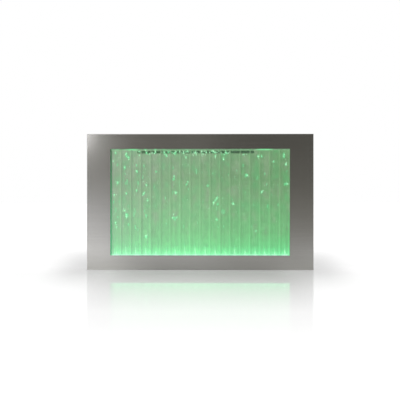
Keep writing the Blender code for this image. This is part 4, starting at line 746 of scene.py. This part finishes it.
# Air in the water. Sizes and heights are in metres
bubbleLook = dict(
    seed=41,
    leftChannels=4,  # the channels with more air in them
    leftCount=30, otherCount=12,
    leftSmears=7, otherSmears=3,
    smallest=0.0008, largest=0.0018,
    clearance=0.0006,
    lowest=0.05, smearLowest=0.12, smearBelowFoam=0.02,
    foamFrom=-0.27, foamTo=0.24,
    foamMiddle=-0.05, foamSpread=0.13,
    foamCount=50, foamClusters=34,
    foamAcross=0.0034, foamUp=0.0028,
    foamLow=0.507, foamHigh=0.5262,
    faint=0.25, bright=1.0,
    halo=0.0052, haloGlow=0.40,
    patchGlow=0.34,
)

# The bubbles that stand out: radius in metres, then how far across and up each one is in millimetres
chosenBubbles = dict(
    large=(0.0022, (
        (-382, 331), (-336, 261), (-241, 146), (-239, 375), (-118, 245), (-108, 341), (-22, 520), (59, 297),
        (273, 344), (379, 467), (27, 520),
    )),
    middle=(0.0018, (
        (-387, 481), (-377, 207), (-373, 188), (-368, 385), (-329, 244), (-329, 515), (-328, 235),
        (-319, 498), (-282, 436), (-251, 337), (-239, 521), (-234, 307), (-200, 528), (-159, 521),
        (-142, 524), (-123, 229), (-74, 518), (-63, 499), (-111, 520), (60, 527), (75, 316), (68, 504),
        (104, 490), (116, 520), (147, 292), (210, 419), (258, 502), (372, 509), (385, 380),
    )),
    small=(0.0012, (
        (-377, 518), (-336, 453), (-329, 337), (-283, 351), (-150, 506), (-116, 414), (-104, 231), (-55, 390),
        (67, 307), (74, 222), (107, 511), (247, 171), (273, 503), (326, 479),
    )),
)

# Soft clouds of fine air: across, up and radius in millimetres
softPatches = (
    (-328, 505, 7), (-327, 240, 9), (-241, 145, 8), (-241, 240, 6), (-118, 402, 7), (-114, 226, 8),
    (-60, 378, 5), (78, 290, 6), (95, 256, 10), (204, 418, 7), (377, 379, 7), (372, 500, 6),
    (-196, 435, 5), (34, 372, 6),
)


def newAir():
    shape = bmesh.new()
    return shape, shape.verts.layers.float.new("glow")


def addBubble(air, centre, radius, glow, stretched, lean=0.0):
    shape, layer = air
    size = Matrix.Diagonal((radius, radius * 0.9, radius * stretched, 1.0))
    matrix = Matrix.Translation(centre) @ Matrix.Rotation(lean, 4, "Y") @ size
    for vert in bmesh.ops.create_icosphere(shape, subdivisions=2, radius=1.0, matrix=matrix)["verts"]:
        vert[layer] = glow


def channelAt(x):
    return int((x - waterLeft) / channelPitch)


def channelLimits(index, radius):
    left = waterLeft + index * channelPitch + dividerThickness / 2 + radius + bubbleLook["clearance"]
    right = waterLeft + (index + 1) * channelPitch - dividerThickness / 2 - radius - bubbleLook["clearance"]
    return left, right


def clamped(value, low, high):
    return min(max(value, low), high)


def addCluster(air, dice, index, spot, radius):
    # One clear bubble, a few small ones close to it and the soft light round them
    look = bubbleLook
    x, y, z = spot
    halo = look["halo"] * dice.uniform(0.7, 1.2)
    across, up = clamped(x, *channelLimits(index, halo)), min(z, tankCeiling - 2.2 * halo)
    centre = (across, middleWater + look["halo"], up)
    glow = look["haloGlow"] * dice.uniform(0.6, 1.1)
    addBubble(air, centre, halo, glow, dice.uniform(1.0, 1.9), dice.uniform(-0.5, 0.5))
    limits = channelLimits(index, radius * 1.4)
    z = min(z, tankCeiling - 2.2 * radius)
    lean = dice.uniform(-0.9, 0.9)
    addBubble(air, (clamped(x, *limits), y, z), radius, look["bright"], dice.uniform(1.1, 1.7), lean)
    for _ in range(dice.randint(2, 6)):
        turn, away = dice.uniform(0.0, math.tau), radius * dice.uniform(1.5, 4.2)
        small = radius * dice.uniform(0.4, 0.8)
        near = clamped(x + away * math.cos(turn), *limits)
        up = min(z + away * 1.4 * math.sin(turn), tankCeiling - 2.0 * small)
        addBubble(air, (near, y + radius, up), small, dice.uniform(0.6, 1.0), dice.uniform(0.9, 1.6), lean)


def fillChannel(air, dice, index):
    look = bubbleLook
    isLeft = index < look["leftChannels"]
    for radius, places in chosenBubbles.values():
        for across, up in places:
            if index == channelAt(across / 1000):
                y = dice.uniform(waterFront + radius * 3, middleWater - radius)
                addCluster(air, dice, index, (across / 1000, y, up / 1000), radius)
    lowest = waterFloor + look["lowest"]
    for _ in range(look["leftCount"] if isLeft else look["otherCount"]):
        radius = dice.uniform(look["smallest"], look["largest"])
        y = dice.uniform(waterFront + radius * 2, waterBack - radius * 2)
        z = lowest + (look["foamLow"] - waterFloor - look["lowest"]) * dice.random() ** 0.6
        glow = look["faint"] + (look["bright"] - look["faint"]) * dice.random() ** 2.2
        centre = (dice.uniform(*channelLimits(index, radius * 1.3)), y, z)
        addBubble(air, centre, radius, glow, dice.uniform(0.75, 1.3), dice.uniform(-0.6, 0.6))
    for across, up, reach in softPatches:
        if index == channelAt(across / 1000):
            radius = reach / 1000
            x = clamped(across / 1000, *channelLimits(index, radius))
            centre = (x, middleWater + radius, up / 1000)
            addBubble(air, centre, radius, look["patchGlow"], dice.uniform(1.1, 1.6), dice.uniform(-0.6, 0.6))
    # Upright smears of light, where fine air rises
    for _ in range(look["leftSmears"] if isLeft else look["otherSmears"]):
        radius = look["halo"] * dice.uniform(0.35, 0.8)
        z = dice.uniform(waterFloor + look["smearLowest"], look["foamLow"] - look["smearBelowFoam"])
        centre = (dice.uniform(*channelLimits(index, radius * 1.2)), middleWater + radius, z)
        glow = dice.uniform(0.14, 0.34)
        addBubble(air, centre, radius, glow, dice.uniform(1.6, 3.6), dice.uniform(-0.1, 0.1))


def addFoam(air, dice):
    # Single bubbles first, then clusters
    look = bubbleLook
    for size in [1] * look["foamCount"] + [dice.randint(3, 8) for _ in range(look["foamClusters"])]:
        middle = clamped(dice.gauss(look["foamMiddle"], look["foamSpread"]), look["foamFrom"], look["foamTo"])
        top = look["foamHigh"] - (look["foamHigh"] - look["foamLow"]) * dice.random() ** 1.7
        for _ in range(size):
            radius = dice.uniform(look["smallest"], look["largest"] * 1.25)
            limits = channelLimits(channelAt(middle), radius * 1.3)
            x = clamped(middle + dice.gauss(0.0, look["foamAcross"]), *limits)
            y = dice.uniform(waterFront + radius * 2, waterBack - radius * 2)
            z = min(top + dice.gauss(0.0, look["foamUp"]), look["foamHigh"])
            addBubble(air, (x, y, z), radius, dice.uniform(0.3, 0.8), dice.uniform(0.8, 1.1))


def makeBubbles(skin):
    dice = random.Random(bubbleLook["seed"])
    for index in range(channelCount):
        air = newAir()
        fillChannel(air, dice, index)
        addPiece(f"bubbles_{index + 1:02d}", air[0], skin)
    air = newAir()
    addFoam(air, dice)
    addPiece("surface_foam", air[0], skin)


# Rising air over each hole of the air bar: sideways lean and height of each jet
jetLook = dict(
    seed=7,
    leans=(-1, -3, -4, -4, 0, 2, -5, -6, -4, -2, -2, -2, -3, 0, 1, -2, 0, -1),
    heights=(27, 44, 53, 40, 22, 35, 49, 57, 53, 44, 40, 27, 44, 31, 35, 27, 27, 44),
    unit=0.001,
    step=0.0008,
    bubble=0.0010,
    spread=0.0010,
    aboveBar=0.0004,
    bright=0.8, faint=0.3,
)


def makeJets(skin):
    look = jetLook
    dice = random.Random(look["seed"])
    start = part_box("air_bar")[1].z + look["aboveBar"]
    for index in range(channelCount):
        air = newAir()
        middle = waterLeft + (index + 0.5) * channelPitch
        lean, height = look["leans"][index] * look["unit"], look["heights"][index] * look["unit"]
        count = int(height / look["step"])
        for number in range(count):
            share = number / count
            radius = look["bubble"] * dice.uniform(0.6, 1.1) * (1.25 - 0.6 * share)
            x = middle + lean * math.sqrt(share) + dice.gauss(0.0, look["spread"] * (1.1 - share))
            y = middleWater + dice.gauss(0.0, look["spread"])
            glow = look["bright"] + (look["faint"] - look["bright"]) * share
            addBubble(air, (x, y, start + radius + height * share), radius, glow, dice.uniform(1.4, 2.2))
        addPiece(f"air_jet_{index + 1:02d}", air[0], skin)


# Small fittings. Profiles are shares of the radius and of the height
fittings = dict(
    steps=28,
    seatGap=0.0003,
    headProfile=((0.66, 1.0), (0.86, 0.84), (0.97, 0.55), (1.0, 0.25), (0.99, 0.0), (0.473, 0.0)),
    threadTurns=12, crest=0.47, root=0.40, tip=0.2,
    recessArm=0.0021, recessHalf=0.00042, recessDepth=0.0013, recessTaper=0.45,
    rivetRadius=0.0034, rivetHeight=0.0015, rivetDrop=0.018,
    rivetProfile=((1.0, 0.0), (0.96, 0.35), (0.78, 0.75), (0.45, 0.96), (0.12, 1.0)),
    rivetPlaces=(-0.30, -0.18, -0.06, 0.06, 0.18, 0.30),
    railSheet=0.0025,
    hingeY=0.01, hingeWithin=0.0005, endWithin=0.001,
    markProud=0.00012, markSunk=0.0003, markLength=0.0042, markHalf=0.0003, markInset=0.0046,
    ringRadius=0.0019,
    pointerLength=0.0056, pointerHalf=0.0005, pointerInset=0.0012,
)


def turnedRings(shape, rings, matrix=Matrix(), closeLast=True):
    # Rings of radius and height about Z, joined one to the next
    loops, steps = [], fittings["steps"]
    turns = [(math.cos(math.tau * step / steps), math.sin(math.tau * step / steps)) for step in range(steps)]
    for radius, height in rings:
        loops.append([shape.verts.new((radius * x, radius * y, height)) for x, y in turns])
    for first, second in zip(loops, loops[1:]):
        for i in range(steps):
            j = (i + 1) % steps
            shape.faces.new((first[i], first[j], second[j], second[i]))
    if closeLast:
        shape.faces.new(loops[-1])
    bmesh.ops.transform(shape, matrix=matrix, verts=[vert for loop in loops for vert in loop])
    return loops


def sized(profile, radius, height):
    return [(radius * across, height * up) for across, up in profile]


def crossOutline(arm, half):
    corners = ((half, half), (half, arm), (-half, arm), (-half, half), (-arm, half), (-arm, -half))
    return corners + tuple((-x, -y) for x, y in corners)


def makeScrews():
    # Pan head with a cross recess, its head towards +Y
    look = fittings
    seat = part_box("back_cover")[1].y + look["seatGap"]
    outline = crossOutline(look["recessArm"], look["recessHalf"])
    for index, node in enumerate(screwNodes, 1):
        low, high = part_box(node)
        radius, head, depth = (high.x - low.x) / 2, high.y - seat, seat - low.y
        pitches = look["threadTurns"] + 1
        thread = []
        for step in range(look["threadTurns"]):
            at = -depth * (step + 0.5) / pitches
            thread += [(radius * look["crest"], at), (radius * look["root"], at - depth / (2 * pitches))]
        shape = bmesh.new()
        rings = sized(look["headProfile"], radius, head) + thread + [(radius * look["tip"], -depth)]
        top = turnedRings(shape, rings)[0]
        cross = [shape.verts.new((x, y, head)) for x, y in outline]
        taper, bottom = look["recessTaper"], head - look["recessDepth"]
        foot = [shape.verts.new((x * taper, y * taper, bottom)) for x, y in outline]
        edges = [shape.edges.new((cross[i - 1], cross[i])) for i in range(len(cross))]
        edges += [shape.edges.get((top[i - 1], top[i])) for i in range(len(top))]
        bmesh.ops.triangle_fill(shape, use_beauty=True, use_dissolve=False, edges=edges)
        for i in range(len(cross)):
            shape.faces.new((cross[i - 1], cross[i], foot[i], foot[i - 1]))
        shape.faces.new(foot)
        bmesh.ops.recalc_face_normals(shape, faces=shape.faces)
        spot = Matrix.Translation(((low.x + high.x) / 2, seat, (low.z + high.z) / 2))
        shape.transform(spot @ faceBack @ Matrix.Rotation(0.4 + 1.1 * index, 4, "Z"))
        steel = makePlatedSteel(node, screwCrystal, 1.1)
        screw = addPiece(f"cross_head_screw_{index}", shape, steel, smooth=False)
        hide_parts(node)


def makeRivets():
    # The rail is riveted to the cover along its upper flange
    look = fittings
    low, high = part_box("hanger_rail")
    rings = sized(look["rivetProfile"], look["rivetRadius"], look["rivetHeight"])
    shape = bmesh.new()
    for x in look["rivetPlaces"]:
        spot = (x, low.y + look["railSheet"], high.z - look["rivetDrop"])
        turnedRings(shape, rings, Matrix.Translation(spot) @ faceBack)
    bmesh.ops.recalc_face_normals(shape, faces=shape.faces)
    addPiece("rail_rivets", shape, makeAluminium("hanger_rail"))


def addBar(shape, length, half, matrix):
    # A round-ended line along Y on the face z = 0, printed thick enough to have an edge
    proud, ends = fittings["markProud"], 8
    outline = []
    for side in (1, -1):
        for step in range(ends + 1):
            turn = math.pi * step / ends
            across, along = half * math.cos(turn), half * math.sin(turn) + length / 2 - half
            outline.append((side * across, side * along))
    levels = []
    for level, inset in ((-fittings["markSunk"], 1.0), (proud * 0.6, 1.0), (proud, 0.82)):
        levels.append([shape.verts.new(matrix @ Vector((x * inset, y, level))) for x, y in outline])
    for low, high in zip(levels, levels[1:]):
        for i in range(len(outline)):
            shape.faces.new((low[i - 1], low[i], high[i], high[i - 1]))
    shape.faces.new(levels[-1])
    shape.faces.new(levels[0][::-1])


def addRing(shape, radius, half, matrix):
    proud, sunk = fittings["markProud"], fittings["markSunk"]
    inner, outer = radius - half, radius + half
    section = (
        (inner, -sunk), (inner, proud * 0.6), (radius - half * 0.7, proud),
        (radius + half * 0.7, proud), (outer, proud * 0.6), (outer, -sunk), (inner, -sunk),
    )
    loops = turnedRings(shape, section, matrix, closeLast=False)
    bmesh.ops.remove_doubles(shape, verts=[vert for loop in loops for vert in loop], dist=0.000001)


def finishMarks(name, shape, node, body):
    bmesh.ops.recalc_face_normals(shape, faces=shape.faces)
    addPiece(name, shape, makeMoulded(node, "white paint"), body, smooth=False)


def lowestCorner(corners, y, within):
    return min((corner for corner in corners if abs(corner.y - y) < within), key=lambda corner: corner.z)


def makeMarks():
    # A line on one half of the rocker and a ring on the other, and a pointer on the knob
    look = fittings
    rocker = nodes["rocker_switch"]
    low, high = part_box("rocker_switch")
    corners = [rocker.matrix_world @ vert.co for vert in rocker.data.vertices]
    middle = lowestCorner(corners, look["hingeY"], look["hingeWithin"])
    shape = bmesh.new()
    for side in (low.y, high.y):
        along = lowestCorner(corners, side, look["endWithin"]) - middle
        along.x = 0.0
        along.normalize()
        way = math.copysign(1.0, along.y)
        out = Vector((0.0, way * along.z, -way * along.y))
        spot = Vector(((low.x + high.x) / 2, middle.y, middle.z)) + along * look["markInset"]
        matrix = Matrix.Translation(spot) @ out.to_track_quat("Z", "Y").to_matrix().to_4x4()
        if side == low.y:
            addBar(shape, look["markLength"], look["markHalf"], matrix)
        else:
            addRing(shape, look["ringRadius"], look["markHalf"], matrix)
    finishMarks("rocker_marks", shape, "rocker_switch", "rocker")
    low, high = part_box("air_knob")
    face = ((low.x + high.x) / 2, low.y + look["pointerLength"] / 2 + look["pointerInset"], low.z)
    shape = bmesh.new()
    flip = Matrix.Translation(face) @ Matrix.Rotation(math.pi, 4, "X")
    addBar(shape, look["pointerLength"], look["pointerHalf"], flip)
    finishMarks("knob_pointer", shape, "air_knob", "knob")


makeScrews()
makeRivets()
makeMarks()
print("fittings made")

airSkin = makeBubbleSkin()
makeBubbles(airSkin)
makeJets(airSkin)
print("air made")


# Studio
cameraSetup = dict(distance=4.0, height=0.3085, azimuth=1.2, lens=81.6, sensor=36.0)
lampSetup = dict(
    key=((-2.4, -2.8, 2.4), 16.0),
    fill=((2.8, -2.4, 1.6), 8.0),
    back=((0.6, 3.0, 2.4), 8.0),
    top=((0.0, 0.3, 3.2), 8.0),
)


def makeWorld():
    world = bpy.data.worlds.new("white studio")
    bpy.context.scene.world = world
    world.use_nodes = True
    feed(world.node_tree.nodes["Background"], {"Color": (1.0, 1.0, 1.0), "Strength": 1.0})


def aim(thing, direction):
    thing.rotation_mode = "QUATERNION"
    thing.rotation_quaternion = direction.to_track_quat("-Z", "Y")


def makeCamera():
    look = cameraSetup
    data = bpy.data.cameras.new("camera")
    data.lens, data.sensor_width = look["lens"], look["sensor"]
    camera = addObject("camera", data)
    turn = math.radians(look["azimuth"])
    back = Vector((math.sin(turn), -math.cos(turn), 0.0))
    camera.location = Vector((0.0, cadLow.y, look["height"])) + back * look["distance"]
    aim(camera, -back)
    bpy.context.scene.camera = camera


def makeLamps():
    middle = (cadLow + cadHigh) / 2
    for name, (spot, power) in lampSetup.items():
        data = bpy.data.lights.new(name, "AREA")
        data.size = math.sqrt(power / math.pi)  # as bright as the world, so its edges don't show in gloss
        data.energy = power
        lamp = addObject(name, data)
        lamp.location = spot
        aim(lamp, middle - Vector(spot))


def stagePlane(name, low, high, material, upright=False):
    mesh = bpy.data.meshes.new(name)
    shape = bmesh.new()
    bmesh.ops.create_grid(shape, x_segments=1, y_segments=1, size=0.5)
    shape.to_mesh(mesh)
    shape.free()
    (x0, y0), (x1, y1) = low, high
    size = Matrix.Diagonal((x1 - x0, y1 - y0, 1.0, 1.0))
    matrix = Matrix.Translation(((x0 + x1) / 2, (y0 + y1) / 2, 0.0)) @ size
    if upright:
        matrix = faceBack @ Matrix.Diagonal((1.0, -1.0, 1.0, 1.0)) @ matrix
    mesh.transform(matrix)
    mesh.materials.append(material)
    plane = addObject(name, mesh)
    return plane


def showMixed(tree, share, first, second):
    mix = addNode(tree, "MixShader", {"Fac": share})
    plug(first.outputs[0], mix.inputs[1])
    plug(second.outputs[0], mix.inputs[2])
    plug(mix.outputs[0], tree.nodes["Material Output"].inputs["Surface"])


# Distances are measured from the panel's front and back, or beside its ends
floorSetup = dict(
    colour=(0.80, 0.80, 0.80),
    half=70.0,
    lift=0.10, farLift=0.24, farFrom=0.7, farTo=3.0,
    mirror=0.47, mirrorEnd=2.3, mirrorAtFoot=0.31, mirrorFull=0.22,
    mirrorTail=0.13, tailFrom=1.5, tailTo=2.9,
    mirrorInGloss=0.65,
    mirrorSide=0.45,
    mirrorRoughness=0.045, mirrorLean=-0.0045,
    slant=0.021,
    endsFrom=0.28, endsTo=0.48, mirrorAtEnds=0.62,
    endLift=0.07, endLiftSide=0.3, endLiftReach=1.2,
    endGlowLeft=0.50, leftFrom=-0.16, leftTo=-0.52,
    endGlowRight=0.27, rightFrom=0.2, rightTo=0.52,
    endGain=1.5, endReach=0.9,
    footGlow=0.08, footReach=0.4,
    shade=0.31, shadeSide=0.2, shadeFront=1.0, shadeBack=2.0, shadeSpread=0.125,
    shadeAhead=0.34, shadeTurn=0.3,
    endShade=0.17, endShadeAt=0.05, endShadeWidth=0.17, endShadeReach=1.1,
)


def makeFloor():
    look = floorSetup
    material, tree = newMaterial("pale floor", look["colour"], 0.6)
    path = addNode(tree, "LightPath").outputs
    inGloss = path["Is Glossy Ray"]
    x, y, z = axes(place(tree))
    forward = minus(y, cadLow.y)
    away = minus(sums("ABSOLUTE", y), cadHigh.y)
    seen = sums("ABSOLUTE", sums("MULTIPLY_ADD", forward, look["slant"], x))
    beside = minus(minus(seen, cadHigh.x), times(forward, look["shadeSpread"]))
    atEnds = rise(seen, look["endsFrom"], look["endsTo"])
    foot = remap(away, 0.0, look["mirrorFull"], look["mirrorAtFoot"] / look["mirror"], 1.0)
    mirror = times(fade(away, look["mirrorEnd"], look["mirror"]), foot)
    tail = remap(away, look["tailFrom"], look["tailTo"], look["mirrorTail"], 0.0, True)
    mirror = times(
        sums("MAXIMUM", mirror, tail),
        mixNumbers(inGloss, 1.0, look["mirrorInGloss"]),
        fade(beside, look["mirrorSide"]),
        mixNumbers(atEnds, 1.0, look["mirrorAtEnds"]),
    )
    # The panel keeps the room's light off the floor beside it and behind it
    ahead = rise(forward, 0.0, look["shadeTurn"])
    front = minus(cadLow.y, y)
    shade = times(
        fade(beside, look["shadeSide"], look["shade"]),
        mixNumbers(ahead, look["shadeAhead"], 1.0),
        fade(front, look["shadeFront"]),
        fade(minus(y, cadHigh.y), look["shadeBack"]),
    )
    endShade = fade(apart(beside, look["endShadeAt"]), look["endShadeWidth"], look["endShade"])
    near = times(fade(front, look["endShadeReach"]), minus(1.0, ahead))
    shadeColour = greyColour(minus(1.0, sums("MULTIPLY_ADD", endShade, near, shade)))
    finish(material, base=mixColours(1.0, look["colour"], shadeColour, "MULTIPLY"))
    # The floor is brighter in front of the panel's two ends, and more so as the steel sees it
    ends = plus(
        rise(x, look["leftFrom"], look["leftTo"], look["endGlowLeft"]),
        rise(x, look["rightFrom"], look["rightTo"], look["endGlowRight"]),
    )
    ends = times(ends, fade(away, look["endReach"], look["endGain"]))
    ends = plus(ends, fade(away, look["footReach"], look["footGlow"]))
    endLift = times(atEnds, fade(beside, look["endLiftSide"], look["endLift"]))
    endLift = times(endLift, fade(away, look["endLiftReach"]))
    far = rootOfSquares(x, y)
    amount = remap(far, look["farFrom"], look["farTo"], look["lift"], look["farLift"], True)
    amount = plus(amount, times(ends, inGloss), endLift)
    seenRays = sums("MAXIMUM", path["Is Camera Ray"], sums("MAXIMUM", inGloss, path["Is Transmission Ray"]))
    lift = addNode(tree, "Emission", {"Color": shadeColour, "Strength": times(seenRays, amount)})
    litFloor = addNode(tree, "AddShader")
    plug(tree.nodes["Principled BSDF"].outputs[0], litFloor.inputs[0])
    plug(lift.outputs[0], litFloor.inputs[1])
    lean = addNode(tree, "CombineXYZ", {"Y": look["mirrorLean"], "Z": 1.0}).outputs[0]
    gloss = {"Color": shadeColour, "Roughness": look["mirrorRoughness"], "Normal": lean}
    showMixed(tree, mirror, litFloor, addNode(tree, "BsdfGlossy", gloss))
    stagePlane("floor", (-look["half"], -look["half"]), (look["half"], look["half"]), material)


# A card in front of the panel that only its gloss sees: dark to the upper right, bright down the left.
# Its two sides are levels by height, and spots are across, up, level and the two reaches
cardSetup = dict(
    away=0.9,
    left=-1.4, right=1.3, low=0.0, high=1.25,
    fade=0.16,
    dimSide=(
        (0.0, 1.08), (0.09, 0.67), (0.2, 0.50), (0.31, 0.38), (0.42, 0.30), (0.53, 0.25), (0.65, 0.22)
    ),
    brightSide=(
        (0.0, 2.55), (0.09, 1.72), (0.2, 1.52), (0.31, 1.06), (0.42, 0.74), (0.53, 0.70), (0.62, 0.75)
    ),
    dimTint=(1.03, 1.0, 0.93), brightTint=(1.0, 1.0, 1.045),
    tintFrom=0.3, tintTo=1.1,
    turnFrom=-0.6, turnTo=0.2,
    turn=((0.0, 1.0), (0.1, 0.84), (0.25, 0.35), (0.45, 0.17), (0.72, 0.26), (0.88, 0.05), (1.0, 0.0)),
    spots=((-0.684, 0.670, 13.0, 0.062, 0.112), (0.56, 0.0, 0.3, 0.22, 0.09), (-0.6, 0.0, 0.45, 0.22, 0.09)),
)


def greyRamp(value, stops):
    # Held at a quarter of its size, because a ramp's colours end at 1
    colour = ramp(value, [(spot, (level / 4, level / 4, level / 4)) for spot, level in stops])
    return times(addNode(value.id_data, "RGBToBW", {"Color": colour}).outputs[0], 4.0)


def makeCard():
    look = cardSetup
    material, tree = newMaterial("reflector card", (0.0, 0.0, 0.0), 1.0)
    tree.nodes.remove(tree.nodes["Principled BSDF"])
    x, y, z = axes(place(tree))
    turn = greyRamp(remap(x, look["turnFrom"], look["turnTo"]), look["turn"])
    level = mixNumbers(turn, greyRamp(z, look["dimSide"]), greyRamp(z, look["brightSide"]))
    for across, up, glow, reachX, reachZ in look["spots"]:
        offX, offZ = sums("DIVIDE", minus(x, across), reachX), sums("DIVIDE", minus(z, up), reachZ)
        level = plus(level, fade(rootOfSquares(offX, offZ), 1.0, glow))
    cast = mixColours(remap(level, look["tintFrom"], look["tintTo"]), look["dimTint"], look["brightTint"])
    shown = times(
        addNode(tree, "NewGeometry").outputs["Backfacing"],
        rise(x, look["left"], look["left"] + look["fade"]),
        rise(x, look["right"], look["right"] - look["fade"]),
        rise(z, look["high"], look["high"] - look["fade"]),
    )
    emission = addNode(tree, "Emission", {"Color": cast, "Strength": level})
    showMixed(tree, shown, addNode(tree, "BsdfTransparent"), emission)
    low, high = (look["left"], look["low"]), (look["right"], look["high"])
    card = stagePlane("reflector_card", low, high, material, True)
    card.location = (0.0, cadLow.y - look["away"], 0.0)
    for rays in ("camera", "diffuse", "transmission", "volume_scatter", "shadow"):
        setattr(card, "visible_" + rays, False)


makeWorld()
makeCamera()
makeLamps()
makeFloor()
makeCard()
bpy.context.scene.view_settings.view_transform = "Standard"
print("studio made")
